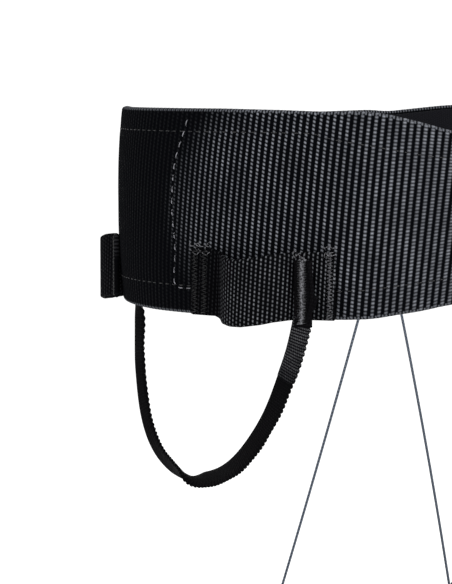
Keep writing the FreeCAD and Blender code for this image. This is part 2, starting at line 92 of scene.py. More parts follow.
def spline(points, step, closed=False):
    """A natural cubic spline through the points, sampled about every step."""
    p = np.array(points, float)
    if closed:
        p = np.vstack([p[-4:], p, p[:5]])
    t = np.r_[0.0, np.cumsum(np.linalg.norm(np.diff(p, axis=0), axis=1))]
    n, h = len(p), np.diff(t)
    system, right = np.eye(n), np.zeros(p.shape)
    for k in range(1, n - 1):
        system[k, k - 1:k + 2] = h[k - 1], 2 * (h[k - 1] + h[k]), h[k]
        right[k] = 6 * ((p[k + 1] - p[k]) / h[k] - (p[k] - p[k - 1]) / h[k - 1])
    m = np.linalg.solve(system, right)
    start, end = (t[4], t[n - 5]) if closed else (t[0], t[-1])
    count = max(2, int(round((end - start) / step)))
    at = np.linspace(start, end, count + 1)[:-1 if closed else None]
    k = np.clip(np.searchsorted(t, at, side="right") - 1, 0, n - 2)
    a, b, w = (t[k + 1] - at)[:, None], (at - t[k])[:, None], h[k][:, None]
    return (m[k] * a ** 3 / (6 * w) + m[k + 1] * b ** 3 / (6 * w)
            + (p[k] / w - m[k] * w / 6) * a + (p[k + 1] / w - m[k + 1] * w / 6) * b)


def tangents(line, closed=False):
    if closed:
        d = np.roll(line, -1, 0) - np.roll(line, 1, 0)
    else:
        d = np.gradient(line, axis=0)
    return d / np.linalg.norm(d, axis=1, keepdims=True)


def unit(v):
    return v / np.linalg.norm(v, axis=-1, keepdims=True)


def run_length(line):
    return np.r_[0.0, np.cumsum(np.linalg.norm(np.diff(line, axis=0), axis=1))]


def same(points):
    return points


def on_left_leg(points):
    c, s = math.cos(LEG_TILT), math.sin(LEG_TILT)
    turned = np.stack([points[..., 0], c * points[..., 1] - s * points[..., 2],
                       s * points[..., 1] + c * points[..., 2]], -1)
    return turned + LEG_CENTRE


def mirror(points):
    return points * np.array((-1.0, 1.0, 1.0))


def leg_side(side):
    if side == "left":
        return on_left_leg
    return lambda points: mirror(on_left_leg(points))


def hip_side(side):
    return mirror if side == "left" else same


# ------------ meshes

def make_object(name, verts, faces, material, uvs=None):
    mesh = bpy.data.meshes.new(name)
    mesh.from_pydata((np.asarray(verts) * MM).tolist(), [], faces)
    if uvs is not None:
        layer = mesh.uv_layers.new(name="weave")
        layer.data.foreach_set("uv", np.asarray(uvs, np.float32).ravel())
    mesh.materials.append(material)
    mesh.validate()
    mesh.update()
    mesh.polygons.foreach_set("use_smooth", [True] * len(mesh.polygons))
    obj = bpy.data.objects.new(name, mesh)
    bpy.context.scene.collection.objects.link(obj)
    return obj


def settle(obj, body, nodes=()):
    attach(obj, body)
    if nodes:
        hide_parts(*nodes)
    return obj


def section(half, r, rows, edge_share):
    """A strip's cross-section as across, out and share of relief, going round it once. half
    is its half width, r its half thickness, and edge_share the share on its rounded edges."""
    row, turn = np.linspace(-1.0, 1.0, rows + 1), np.radians((50.0, 0.0, -50.0))
    none, one = 0 * row, 0 * turn + 1.0
    across = (np.r_[row, one, row[::-1], -one] * (half - r)
              + np.r_[none, np.cos(turn), none, -np.cos(turn)] * r)
    out = np.r_[none + r, r * np.sin(turn), none - r, -r * np.sin(turn)]
    return across, out, np.r_[none + 1.0, one * edge_share, none + 1.0, one * edge_share]


def turns_over(place):
    """Whether place mirrors, which would leave the faces inside out."""
    probe = place(np.vstack([np.zeros(3), np.eye(3)]))
    return np.linalg.det(probe[1:] - probe[0]) < 0


def turn_faces(faces, uvs):
    turned, corners, at = [], [], 0
    for face in faces:
        turned.append(face[::-1])
        corners += uvs[at:at + len(face)][::-1]
        at += len(face)
    return turned, corners


def skin(name, verts, u, v, material, place, closed=False, whole=0.0):
    """A mesh over rings of points, by station and point, with their weave places u and v.
    A closed one has no ends, and whole is its full length."""
    count, m = u.shape
    faces, uvs = [], []
    for k in range(count if closed else count - 1):
        n = (k + 1) % count
        for j in range(m):
            i = (j + 1) % m
            faces.append((k * m + j, n * m + j, n * m + i, k * m + i))
            un = whole if n == 0 else u[n, j]
            uvs += [(u[k, j], v[k, j]), (un, v[n, j]), (un, v[n, i]), (u[k, i], v[k, i])]
    if not closed:
        for k, turn in ((0, 1), (count - 1, -1)):
            order = range(m)[::turn]
            faces.append(tuple(k * m + j for j in order))
            uvs += [(u[k, j], v[k, j]) for j in order]
    if turns_over(place):
        faces, uvs = turn_faces(faces, uvs)
    return make_object(name, place(verts.reshape(-1, 3)), faces, material, uvs)


def web(name, line, across, width, thickness, material, place=same, rows=4, closed=False,
        relief=None, shape=None):
    """Woven webbing along a line. across is its width direction, one or one per station.
    relief(arc, across) gives the surface's height, and shape(arc, across, out) moves the
    section's points."""
    line = np.asarray(line, float)
    across = np.broadcast_to(across, line.shape)
    tangent = tangents(line, closed)
    out = unit(np.cross(tangent, across))
    runs = run_length(np.vstack([line, line[:1]]) if closed else line)
    a, b, share = section(width / 2.0, thickness / 2.0, rows, 0.5)
    u, a, b = np.broadcast_arrays(runs[:len(line), None], a, b)
    v = a
    if relief is not None:
        b = b + np.sign(b) * relief(u, v) * share
    if shape is not None:
        a, b = shape(u, a, b)
    verts = line[:, None] + across[:, None] * a[..., None] + out[:, None] * b[..., None]
    if not closed:
        # sealed ends: a last ring a little smaller than the strip
        tip = min(0.35, thickness * 0.25)
        first, last = [end.mean(0) + (end - end.mean(0)) * 0.97 for end in verts[[0, -1]]]
        verts = np.concatenate([first[None] - tangent[0] * tip, verts,
                                last[None] + tangent[-1] * tip])
        u = np.concatenate([u[:1] - tip, u, u[-1:] + tip])
        v = np.concatenate([v[:1], v, v[-1:]])
    return skin(name, verts, u, v, material, place, closed, runs[-1])


def herringbone(u, v):
    return 0.05 * np.cos((u + np.abs(v)) / 1.4 * 2 * math.pi)


def grooves(height, step):
    """Relief in grooves along a webbing."""
    return lambda u, v: height * np.cos(v / step * 2 * math.pi)


def on_ring(ring, offset, lift=0.0):
    """Points on a face that follows a ring, offset out from it and lift above it."""
    def surface(arc, height, extra=0.0):
        return ring.point(arc, offset + extra, height + lift)
    return surface


def on_plane(y, facing):
    """Points on a flat face at y that looks along +Y or -Y."""
    def surface(across, height, lift=0.0):
        across, height, lift = np.broadcast_arrays(across, height, lift)
        return np.stack([across, y + facing * lift, height], -1)
    return surface


THREADS = {}


def tube(points, radius, sides=6, taper=False):
    """The vertices and faces of a round tube along points."""
    points = np.asarray(points, float)
    t = tangents(points)
    side = np.cross(t, UP)
    flat = np.linalg.norm(side, axis=1) < 0.2
    side[flat] = np.cross(t[flat], (1.0, 0.0, 0.0))
    side = unit(side)
    other = np.cross(t, side)
    size = np.full(len(points), radius)
    if taper:
        size[0] = size[-1] = radius * 0.45
    turns = np.linspace(0, 2 * math.pi, sides, endpoint=False)
    ring = (side[:, None] * np.cos(turns)[None, :, None]
            + other[:, None] * np.sin(turns)[None, :, None])
    verts = (points[:, None] + ring * size[:, None, None]).reshape(-1, 3)
    faces = []
    for k in range(len(points) - 1):
        for j in range(sides):
            i = (j + 1) % sides
            faces.append((k * sides + j, k * sides + i, (k + 1) * sides + i, (k + 1) * sides + j))
    faces.append(tuple(range(sides))[::-1])
    faces.append(tuple((len(points) - 1) * sides + j for j in range(sides)))
    return verts, faces


def thread(body, points, radius, sides=5, place=same, kind="thread", taper=False):
    verts, faces = tube(points, radius, sides, taper)
    if turns_over(place):
        faces = [f[::-1] for f in faces]
    THREADS.setdefault((body, kind), []).append((place(verts), faces))


def seam(body, points, out, pitch=4.2, length=2.3, radius=0.2, place=same, kind="thread"):
    """A row of stitches along points; each dips into the webbing at its ends."""
    points, out = np.asarray(points, float), np.broadcast_to(out, np.shape(points))
    runs = run_length(points)
    count = max(1, int(runs[-1] / pitch))
    for k in range(count):
        middle = (k + 0.5) * runs[-1] / count
        at = middle + np.array((-0.5, -0.35, 0.0, 0.35, 0.5)) * length
        lift = np.array((-0.25, 0.05, 0.14, 0.05, -0.25))
        where = np.stack([np.interp(at, runs, points[:, c]) for c in range(3)], -1)
        away = unit(np.stack([np.interp(at, runs, out[:, c]) for c in range(3)], -1))
        thread(body, where + away * lift[:, None], radius, 5, place, kind, True)


def bar_tack(body, surface, along, low, high, width, pitch=0.62, radius=0.19, place=same,
             kind="tack"):
    """A dense zigzag from low to high. surface(along, height, lift) gives its points, and
    those between the turns lie higher."""
    steps = int(round((high - low) / pitch))
    heights = np.linspace(low, high, steps + 1)
    swing = np.where(np.arange(steps + 1) % 2 == 0, -0.5, 0.5) * width
    at, whole = np.arange(2 * steps + 1) / 2.0, np.arange(steps + 1)
    points = surface(along + np.interp(at, whole, swing), np.interp(at, whole, heights),
                     0.16 * (at % 1 > 0))
    thread(body, points, radius, 5, place, kind)


def cross_tack(body, surface, middle, half, height, points, swing, radius, place=same):
    """A zigzag from side to side across a webbing, with its points up and down."""
    across = middle + np.linspace(-half, half, points)
    heights = height + np.where(np.arange(points) % 2 == 0, -swing, swing)
    thread(body, surface(across, heights, 0.04), radius, 5, place, "tack")


def finish_threads(materials):
    for (body, kind), parts in THREADS.items():
        verts, faces, base = [], [], 0
        for part_verts, part_faces in parts:
            verts.append(part_verts)
            faces += [tuple(base + i for i in f) for f in part_faces]
            base += len(part_verts)
        obj = make_object(f"{kind}_{body}", np.concatenate(verts), faces, materials[kind])
        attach(obj, body)


# ------------ materials

class Shade:
    """A node material with short calls for its maths."""

    def __init__(self, name, roughness, specular=0.25, sheen=0.0, metallic=0.0):
        self.material = bpy.data.materials.new(name)
        self.material.use_nodes = True
        self.tree = self.material.node_tree
        self.shader = self.tree.nodes["Principled BSDF"]
        for key, value in (("Roughness", roughness), ("Specular IOR Level", specular),
                           ("Sheen Weight", sheen), ("Sheen Roughness", 0.4),
                           ("Metallic", metallic)):
            self.shader.inputs[key].default_value = value

    def node(self, kind, **settings):
        made = self.tree.nodes.new(kind)
        for key, value in settings.items():
            setattr(made, key, value)
        return made

    def put(self, socket, value):
        if isinstance(value, bpy.types.NodeSocket):
            self.tree.links.new(value, socket)
        else:
            socket.default_value = value

    def math(self, operation, *values, clamp=False):
        made = self.node("ShaderNodeMath", operation=operation, use_clamp=clamp)
        for socket, value in zip(made.inputs, values):
            self.put(socket, value)
        return made.outputs[0]

    def ramp(self, value, low, high, to_low=0.0, to_high=1.0):
        made = self.node("ShaderNodeMapRange", interpolation_type="SMOOTHSTEP")
        for socket, v in zip(made.inputs, (value, low, high, to_low, to_high)):
            self.put(socket, v)
        return made.outputs[0]

    def mix(self, share, first, second):
        made = self.node("ShaderNodeMix", data_type="RGBA")
        self.put(made.inputs["Factor"], share)
        for socket, colour in ((made.inputs[6], first), (made.inputs[7], second)):
            self.put(socket, colour if isinstance(colour, bpy.types.NodeSocket)
                     else (*colour, 1.0))
        return made.outputs[2]

    def noise(self, scale, detail=2.0, stretch=(1.0, 1.0, 1.0)):
        where = self.node("ShaderNodeTexCoord")
        fit = self.node("ShaderNodeMapping")
        fit.inputs["Scale"].default_value = stretch
        self.put(fit.inputs["Vector"], where.outputs["Object"])
        made = self.node("ShaderNodeTexNoise")
        self.put(made.inputs["Vector"], fit.outputs[0])
        made.inputs["Scale"].default_value = scale
        made.inputs["Detail"].default_value = detail
        return made.outputs["Fac"]

    def wave(self, value, period=1.0):
        return self.math("COSINE", self.math("MULTIPLY", value, 2 * math.pi / period))

    def cloth_place(self):
        uv = self.node("ShaderNodeUVMap", uv_map="weave")
        split = self.node("ShaderNodeSeparateXYZ")
        self.put(split.inputs[0], uv.outputs[0])
        return split.outputs[0], split.outputs[1]

    def cell_noise(self, first, second):
        join = self.node("ShaderNodeCombineXYZ")
        self.put(join.inputs[0], first)
        self.put(join.inputs[1], second)
        made = self.node("ShaderNodeTexWhiteNoise", noise_dimensions="2D")
        self.put(made.inputs["Vector"], join.outputs[0])
        return made.outputs["Value"]

    def bump(self, height, distance, strength=1.0):
        made = self.node("ShaderNodeBump")
        made.inputs["Distance"].default_value = distance
        made.inputs["Strength"].default_value = strength
        self.put(made.inputs["Height"], height)
        self.put(self.shader.inputs["Normal"], made.outputs[0])

    def cloth(self, share, dark, light, height, distance, strength=1.0):
        """Coloured by share from dark to light, with height as its relief."""
        self.put(self.shader.inputs["Base Color"], self.mix(share, dark, light))
        if height is not None:
            self.bump(height, distance, strength)
        return self.material


def knuckles(k, rib, knuckle, lean, slant, fat, joined):
    """Ribbed weave: columns of knuckles across the webbing, each column half a step off its
    neighbours. joined is how light a column stays between its knuckles. Gives each knuckle's
    height, the rib's height and a number per knuckle."""
    along, over = k.cloth_place()
    column = k.math("DIVIDE", k.math("MULTIPLY_ADD", over, lean, along), rib)
    index = k.math("FLOOR", column)
    across = k.math("SUBTRACT", k.math("SUBTRACT", column, index), 0.5)
    stagger = k.math("MULTIPLY", k.math("MODULO", index, 2.0), 0.5)
    row = k.math("ADD", k.math("DIVIDE", over, knuckle), stagger)
    row = k.math("MULTIPLY_ADD", across, slant, row)
    row_index = k.math("FLOOR", row)
    up = k.math("SUBTRACT", k.math("SUBTRACT", row, row_index), 0.5)
    strip = k.ramp(k.math("ABSOLUTE", across), k.math("MULTIPLY", fat, 1.45),
                   k.math("MULTIPLY", fat, 0.45))
    bead = k.ramp(k.math("ABSOLUTE", up), 0.42, 0.05)
    between = k.math("MULTIPLY_ADD", bead, k.math("SUBTRACT", 1.0, joined), joined)
    lump = k.math("MULTIPLY", strip, between)
    rib_height = k.wave(across)
    return lump, rib_height, k.cell_noise(index, row_index)


def webbing(name, rib, knuckle, dark, light, lean=0.0, slant=0.75, fat=0.27, joined=0.1,
            specular=0.005, bump=0.00014, change=0.35, smooth_from=None, folded=None,
            sheen=0.0015, selvedge=None):
    """Coarse woven webbing with light knuckles on a dark ground. smooth_from is the length
    of a half turn, and how far back the knuckles fade and end. folded is the stretch over
    which the knuckles come up from painted shade: they are dimmed where the strip rises off
    the belt in a shadowed fold. selvedge is how far from the middle the edge's small loops are."""
    k = Shade(name, 0.6, specular, sheen)
    along, over = k.cloth_place()
    fade = 1.0
    # painted shade: over the first stretch the knuckles are dimmed to 0.12, for the shadowed fold where
    # the strip rises off the belt
    if folded:
        fade = k.ramp(along, *folded, 0.12, 1.0)
    if smooth_from:
        half_turn, fade_start, fade_end = smooth_from
        back = k.math("PINGPONG", along, half_turn)
        slant = k.ramp(back, 78.0, 112.0, -0.2, slant)
        fat = k.ramp(back, 65.0, 120.0, fat + 0.07, fat)
        joined = k.ramp(back, 65.0, 120.0, joined + 0.17, joined)
        edge = k.math("POWER", k.math("DIVIDE", k.math("ABSOLUTE", over), BELT_HALF), 2.0)
        fade = k.ramp(k.math("MULTIPLY_ADD", edge, 22.0, back), fade_start, fade_end, 1.0, 0.03)
        front = k.ramp(back, 60.0, 120.0, 0.82, 1.0)
        fade = k.math("MULTIPLY", fade, front)
    lump, rib_height, number = knuckles(k, rib, knuckle, lean, slant, fat, joined)
    patch = k.ramp(k.noise(70.0, 3.0), 0.3, 0.7, 1.0 - change, 1.0)
    show = k.math("MULTIPLY", k.math("MULTIPLY", lump, patch),
                  k.math("MULTIPLY_ADD", number, 0.45, 0.65), clamp=True)
    show = k.math("MULTIPLY", show, fade)
    if selvedge:
        loops = k.ramp(k.math("PINGPONG", along, rib / 4.0), 0.1, rib / 4.0)
        rim = k.ramp(k.math("ABSOLUTE", over), selvedge, selvedge + 0.5, 0.0, 0.5)
        show = k.math("MAXIMUM", show, k.math("MULTIPLY", loops, rim))
    return k.cloth(show, dark, light, k.math("MULTIPLY_ADD", rib_height, 0.25, lump), bump)


def fine_cloth(name, dark, light, pitch, bump=0.00006):
    """Fine plain weave or knit that shows as a faint grid."""
    k = Shade(name, 0.85, 0.04, 0.012)
    lump, _, _ = knuckles(k, pitch, pitch * 0.9, 0.0, 0.0, 0.35, 0.1)
    mottled = k.ramp(k.noise(38.0, 4.0), 0.3, 0.75)
    share = k.math("MULTIPLY", lump, k.math("MULTIPLY_ADD", mottled, 0.5, 0.4))
    return k.cloth(share, dark, light, lump, bump)


def twill(name, dark, light, pitch, angle):
    """Flat strap webbing with diagonal ribs that meet in a herringbone."""
    k = Shade(name, 0.6, 0.07, 0.012)
    along, over = k.cloth_place()
    folded = k.math("PINGPONG", over, 3.2)
    phase = k.math("DIVIDE", k.math("MULTIPLY_ADD", folded, angle, along), pitch)
    ridge = k.wave(phase)
    fill = k.wave(over, 0.8)
    lump = k.math("MULTIPLY_ADD", fill, 0.25, k.math("MULTIPLY_ADD", ridge, 0.35, 0.4))
    patch = k.ramp(k.noise(55.0, 3.0), 0.25, 0.75, 0.6, 1.0)
    return k.cloth(k.math("MULTIPLY", lump, patch, clamp=True), dark, light, lump, 0.0001)


def anodised(name, base, edge, roughness):
    k = Shade(name, roughness, 0.5, 0.0, 1.0)
    brushed = k.noise(900.0, 3.0, (1.0, 1.0, 0.08))
    worn = k.ramp(k.noise(60.0, 5.0), 0.45, 0.75)
    geometry = k.node("ShaderNodeNewGeometry")
    point = k.ramp(geometry.outputs["Pointiness"], 0.52, 0.62)
    share = k.math("ADD", k.math("MULTIPLY", worn, 0.2), k.math("MULTIPLY", point, 0.6), clamp=True)
    rough = k.ramp(brushed, 0.3, 0.7, roughness - 0.08, roughness + 0.1)
    k.put(k.shader.inputs["Roughness"], rough)
    return k.cloth(share, base, edge, brushed, 0.00002, 0.4)


def thread_cloth(name, dark, light):
    k = Shade(name, 0.5, 0.08, 0.02)
    ply = k.noise(1600.0, 1.0)
    return k.cloth(k.ramp(ply, 0.35, 0.65), dark, light, ply, 0.00004)


def foam_cloth(name, dark, light):
    k = Shade(name, 0.9, 0.05, 0.02)
    cells = k.node("ShaderNodeTexVoronoi")
    cells.inputs["Scale"].default_value = 1500.0
    where = k.node("ShaderNodeTexCoord")
    k.put(cells.inputs["Vector"], where.outputs["Object"])
    pore = k.ramp(cells.outputs["Distance"], 0.1, 0.6)
    return k.cloth(pore, dark, light, pore, 0.0001)


def sleeve(name, dark, light):
    """The smooth hard-wearing sleeve inside a tie-in loop."""
    k = Shade(name, 0.35, 0.5)
    along, _ = k.cloth_place()
    fine = k.wave(along, 0.6)
    worn = k.ramp(k.noise(90.0, 4.0), 0.35, 0.7)
    share = k.math("MULTIPLY_ADD", fine, 0.08, k.math("MULTIPLY", worn, 0.5))
    return k.cloth(share, dark, light, fine, 0.00003)


def braid(name, dark, light, pitch):
    """Braided elastic cord: strands that cross round it."""
    k = Shade(name, 0.6, 0.3, 0.1)
    along, round_it = k.cloth_place()
    over, under = [k.math("SINE", k.math(way, k.math("MULTIPLY", along, 2 * math.pi / pitch),
                                         k.math("MULTIPLY", round_it, 4 * math.pi)))
                   for way in ("ADD", "SUBTRACT")]
    lump = k.math("MAXIMUM", over, under)
    return k.cloth(k.ramp(lump, -0.2, 0.9), dark, light, lump, 0.00008)


# the belt's and the edges' webbing: from one rib to the next, and along a rib between knuckles
RIB, KNUCKLE = 2.55, 1.38
EDGE_RIB, EDGE_KNUCKLE = 1.65, 1.5
BELT_HALF = 37.5
# how far a rib leans along the webbing, by place across it
WEAVE_LEAN = -0.092
EDGE_LEAN = -0.06
BELT_CLOTH = webbing("belt_weave", RIB, KNUCKLE, (0.0009, 0.001, 0.0015), (0.152, 0.16, 0.179),
                     lean=WEAVE_LEAN, fat=0.18, joined=0.03, selvedge=36.2, sheen=0.005,
                     smooth_from=(WAIST.perimeter / 2.0, 155.0, 182.0))
LEG_CLOTH = webbing("leg_weave", RIB, KNUCKLE, (0.0013, 0.0014, 0.002), (0.15, 0.157, 0.175),
                    lean=WEAVE_LEAN, fat=0.2, joined=0.03, selvedge=27.0)
EDGE_WEAVE = dict(slant=0.35, joined=0.02, lean=EDGE_LEAN, bump=0.00013)
# the front tunnels' edge webbing: folded gives painted shade over its first stretch, where it rises off
# the belt in a fold
EDGE_CLOTH = webbing("edge_weave", EDGE_RIB, EDGE_KNUCKLE, (0.0008, 0.0008, 0.0011),
                     (0.102, 0.106, 0.115), fat=0.17, folded=(11.0, 24.0), **EDGE_WEAVE)
# a darker copy of the edge webbing, with dim knuckles: painted shade for the rear tunnels, which lie in
# shadow
EDGE_CLOTH_PAINTED_SHADE = webbing("edge_weave_painted_shade", EDGE_RIB, EDGE_KNUCKLE, (0.0013, 0.0013, 0.0017),
                       (0.016, 0.016, 0.018), fat=0.2, **EDGE_WEAVE)
TAPE_CLOTH = webbing("gear_tape_weave", 1.3, 0.9, (0.0014, 0.0013, 0.0016), (0.004, 0.004, 0.0045),
                     slant=0.5, bump=0.0001, change=0.8, specular=0.01, sheen=0.0)
FLECK_CLOTH = webbing("gear_tape_flecked", 1.2, 0.8, (0.0015, 0.0015, 0.002), (0.085, 0.085, 0.09),
                      slant=1.4, bump=0.0001, change=0.8)
LOAD_CLOTH = twill("load_weave", (0.004, 0.004, 0.005), (0.04, 0.042, 0.048), 1.6, 0.9)
STRAP_CLOTH = twill("strap_weave", (0.0035, 0.0035, 0.0045), (0.032, 0.033, 0.038), 1.4, 1.0)
LINING_CLOTH = fine_cloth("lining_knit", (0.0028, 0.0028, 0.0038), (0.007, 0.007, 0.0088), 0.9)
BAND_CLOTH = fine_cloth("elastic_weave", (0.005, 0.005, 0.006), (0.028, 0.028, 0.032), 0.8,
                        bump=0.0001)
FOAM_CLOTH = foam_cloth("foam_cells", (0.012, 0.012, 0.014), (0.04, 0.04, 0.045))
GUARD_CLOTH = sleeve("guard_sleeve", (0.10, 0.105, 0.115), (0.22, 0.23, 0.25))
CORD_CLOTH = braid("cord_braid", (0.02, 0.027, 0.038), (0.075, 0.093, 0.125), 1.6)
METAL = anodised("anodised_plate", (0.09, 0.095, 0.105), (0.35, 0.36, 0.38), 0.38)
THREAD_CLOTH = thread_cloth("seam_thread", (0.1, 0.1, 0.11), (0.2, 0.2, 0.22))
TACK_CLOTH = thread_cloth("tack_thread", (0.02, 0.02, 0.022), (0.13, 0.13, 0.14))
DARK_CLOTH = thread_cloth("dark_thread", (0.006, 0.006, 0.007), (0.035, 0.035, 0.036))


# ------------ bands: waist belt and leg loops

BELT_END = WAIST.perimeter + 36.0
BELT_START = 82.0
BELT_THICK = 2.2
RIB_DEPTH = 0.17
LEG_RIB_DEPTH = 0.15
# each layer's middle out from the ring, and its thickness
FOAM_LAYER = (-3.85, 2.7)
LINING_LAYER = (-5.95, 1.0)
FOAM_INSET = 4.5

# heights of the belt's edges and seams by arc length back from the front centre
TOP_EDGE = [(0, 23.2), (40, 26.5), (62, 29.9), (73, 33.0), (80, 34.6), (85, 35.8), (90, 36.4),
            (98, 36.8), (110, 36.6), (125, 37.1), (150, 37.5), (421, 37.5)]
LOW_EDGE = [(0, 23.6), (40, 29.2), (64, 33.0), (72, 34.9), (80, 36.2), (90, 38.0), (100, 38.5),
            (190, 38.6), (230, 38.2), (421, 37.9)]
SEAM_TOP = [(0, 14.5), (40, 18.0), (62, 20.0), (70, 20.7), (80, 22.4), (92, 24.5), (106, 26.6),
            (111, 28.6), (130, 28.8), (421, 28.8)]
SEAM_LOW = [(0, 14.5), (62, 22.9), (92, 27.5), (104, 28.2), (421, 28.2)]
# how far the top edge dips behind the wearer, by arc length all round
BACK_DIP = [(0, 0.0), (280, 0.0), (340, 0.4), (380, 0.7), (395, 1.5), (420, 3.9), (428, 3.2),
            (450, 3.8), (520, 4.0), (560, 2.0), (590, 0.2), (900, 0.0)]


def table(rows, at):
    x, y = np.array(rows, float).T
    return np.mean([np.interp(at + d, x, y) for d in (-3.0, -1.5, 0.0, 1.5, 3.0)], axis=0)


def from_front(arc):
    """The arc length back from the front centre, on whichever side."""
    folded = np.mod(arc, WAIST.perimeter)
    return np.minimum(folded, WAIST.perimeter - folded)


def belt_top(arc):
    return table(TOP_EDGE, from_front(arc)) - table(BACK_DIP, np.mod(arc, WAIST.perimeter))


def belt_low(arc):
    return -table(LOW_EDGE, from_front(arc))


def belt_wave(arc, share):
    return 0.25 * np.sin(arc / 23.0) * share + 0.2 * np.sin(arc / 41.0)


def belt_bow(share):
    """How far the belt's edges lie inside its middle."""
    return -1.9 * np.abs(share) ** 2.6


def belt_dent(arc, height):
    """The groove that each sewn line presses into the ribs."""
    back = from_front(arc)
    top, low = table(SEAM_TOP, back), -table(SEAM_LOW, back)
    return -0.22 * (np.exp(-((height - top) / 0.8) ** 2) + np.exp(-((height - low) / 0.8) ** 2))


LEG_HALF = 28.0
LEG_ENDS = (78.0, LEG.perimeter + 22.0)


def leg_edge(arc):
    """A leg loop's half height: its corners are rounded at both ends."""
    near = np.minimum(arc - LEG_ENDS[0], LEG_ENDS[1] - arc)
    return LEG_HALF - 7.0 * np.clip(1.0 - near / 22.0, 0, 1) ** 2


def leg_bow(share):
    return -1.4 * np.abs(share) ** 2.6


def leg_dent(arc, height):
    edge = leg_edge(arc) - 6.5
    return -0.2 * (np.exp(-((height - edge) / 0.7) ** 2) + np.exp(-((height + edge) / 0.7) ** 2))


def flat(*values):
    return 0.0


def band(name, ring, arcs, offset, thickness, top, low, material, rows, step, ribs=0.0,
         bow=flat, wave=flat, dent=flat, weave_half=BELT_HALF, place=same, puff=0.0, inset=0.0):
    """A wide layer that follows a ring, with rounded edges. ribs is the height of the woven
    ribs on its faces, puff how far its middle swells, and inset how far inside top and low
    its edges are."""
    count = int(abs(arcs[1] - arcs[0]) / step)
    arc = np.linspace(arcs[0], arcs[1], count + 1)[:, None]
    upper, lower = top(arc) - inset, low(arc) + inset
    middle, half = (upper + lower) / 2.0, (upper - lower) / 2.0
    across, outs, relief = section(half, thickness / 2.0, rows, 0.4)
    share = across / half
    weave_v = share * weave_half
    heights = middle + across
    # a rib's crest is half way between whole steps, where the cloth has its knuckles
    crest = -np.cos((arc + WEAVE_LEAN * weave_v) / RIB * 2 * math.pi)
    rise = ribs * (crest - 0.2) + dent(arc, heights) + puff * (1 - np.abs(share) ** 4)
    outs = outs + np.sign(outs) * rise * relief
    heights = heights + (relief < 0.9) * np.sign(share) * ribs * 0.15 * crest
    outs = outs + offset + bow(share) + wave(arc, share)
    flat_arc = arc[:, 0]
    verts = (ring.point(flat_arc)[:, None] + ring.outward(flat_arc)[:, None] * outs[..., None]
             + UP * heights[..., None])
    return skin(name, verts, np.broadcast_to(arc, across.shape), weave_v, material, place)


def padding(body, names, nodes, ring, arcs, edges, steps, lining_inset, bow, wave=flat,
            place=same):
    """The foam and the lining behind a band's webbing. arcs are the foam's ends, and steps
    the two layers' lengths between stations."""
    foam = band(names[0], ring, arcs, *FOAM_LAYER, *edges, FOAM_CLOTH, 8, steps[0], bow=bow,
                wave=wave, place=place, puff=0.15, inset=FOAM_INSET)
    settle(foam, body, [nodes[0]])
    lining = band(names[1], ring, (arcs[0] - 1.0, arcs[1] + 1.0), *LINING_LAYER, *edges,
                  LINING_CLOTH, 10, steps[1], bow=bow, wave=wave, place=place,
                  inset=lining_inset)
    settle(lining, body, [nodes[1]])


def belt_surface(arc, height, lift=0.0):
    """Points on the belt's outer face."""
    top, low = belt_top(arc), belt_low(arc)
    share = np.clip((height - (top + low) / 2) / ((top - low) / 2), -1, 1)
    return WAIST.point(arc, belt_bow(share) + belt_wave(arc, share) + 0.08 + lift, height)


def leg_surface(arc, height, lift=0.0):
    share = np.clip(height / leg_edge(arc), -1, 1)
    return LEG.point(arc, leg_bow(share) + 0.08 + lift, height)


settle(band("belt_webbing", WAIST, (BELT_START, BELT_END), -BELT_THICK / 2, BELT_THICK,
            belt_top, belt_low, BELT_CLOTH, 22, 0.42, RIB_DEPTH, belt_bow, belt_wave, belt_dent),
       "root", ["waist_belt_webbing"])
padding("root", ("belt_foam", "belt_lining"), ("waist_belt_foam", "waist_belt_lining"), WAIST,
        (BELT_START + 6.0, BELT_END - 62.0), (belt_top, belt_low), (2.5, 2.0), 1.6, belt_bow,
        belt_wave)

arc_line = np.arange(88.0, BELT_END - 6.0, 1.0)
for rows, sign in ((SEAM_TOP, 1.0), (SEAM_LOW, -1.0)):
    heights = sign * table(rows, from_front(arc_line))
    seam("root", belt_surface(arc_line, heights, -0.14), WAIST.outward(arc_line),
         kind="dark_thread", radius=0.17)
# the light bowed seam behind each front tunnel, with its foot turned forwards
BOWED_SEAM = [(-166.8, 34.0), (-168.4, 28.5), (-172.0, 19.6), (-173.8, 7.1), (-174.0, 0.8),
              (-173.0, -7.3), (-172.6, -20.2), (-172.0, -28.7), (-169.0, -29.2), (-163.5, -29.0)]
for place in (same, mirror):
    walk = spline([(a, z, 0) for a, z in BOWED_SEAM], 0.8)
    seam("root", belt_surface(walk[:, 0], walk[:, 1], 0.05), WAIST.outward(walk[:, 0]),
         radius=0.2, place=place)


def leg_low(arc):
    return -leg_edge(arc)


for side in SIDES:
    body, place = "leg_" + side, leg_side(side)
    settle(band("leg_webbing_" + side + "_weave", LEG, LEG_ENDS, -BELT_THICK / 2, BELT_THICK,
                leg_edge, leg_low, LEG_CLOTH, 16, 0.5, LEG_RIB_DEPTH, leg_bow, flat, leg_dent,
                LEG_HALF, place), body, ["leg_webbing_" + side])
    padding(body, ("leg_foam_" + side + "_pad", "leg_lining_" + side + "_knit"),
            ("leg_foam_" + side, "leg_lining_" + side), LEG, (LEG_ENDS[0] + 4, LEG_ENDS[1] - 4),
            (leg_edge, leg_low), (3.0, 2.5), 2.0, leg_bow, place=place)
    arc_line = np.arange(LEG_ENDS[0] + 6, LEG_ENDS[1] - 6, 1.5)
    for sign in (1.0, -1.0):
        heights = sign * (leg_edge(arc_line) - 6.5)
        seam(body, leg_surface(arc_line, heights, -0.1), LEG.outward(arc_line),
             kind="dark_thread", radius=0.18, place=place)


# ------------ hips: tunnels and gear loops

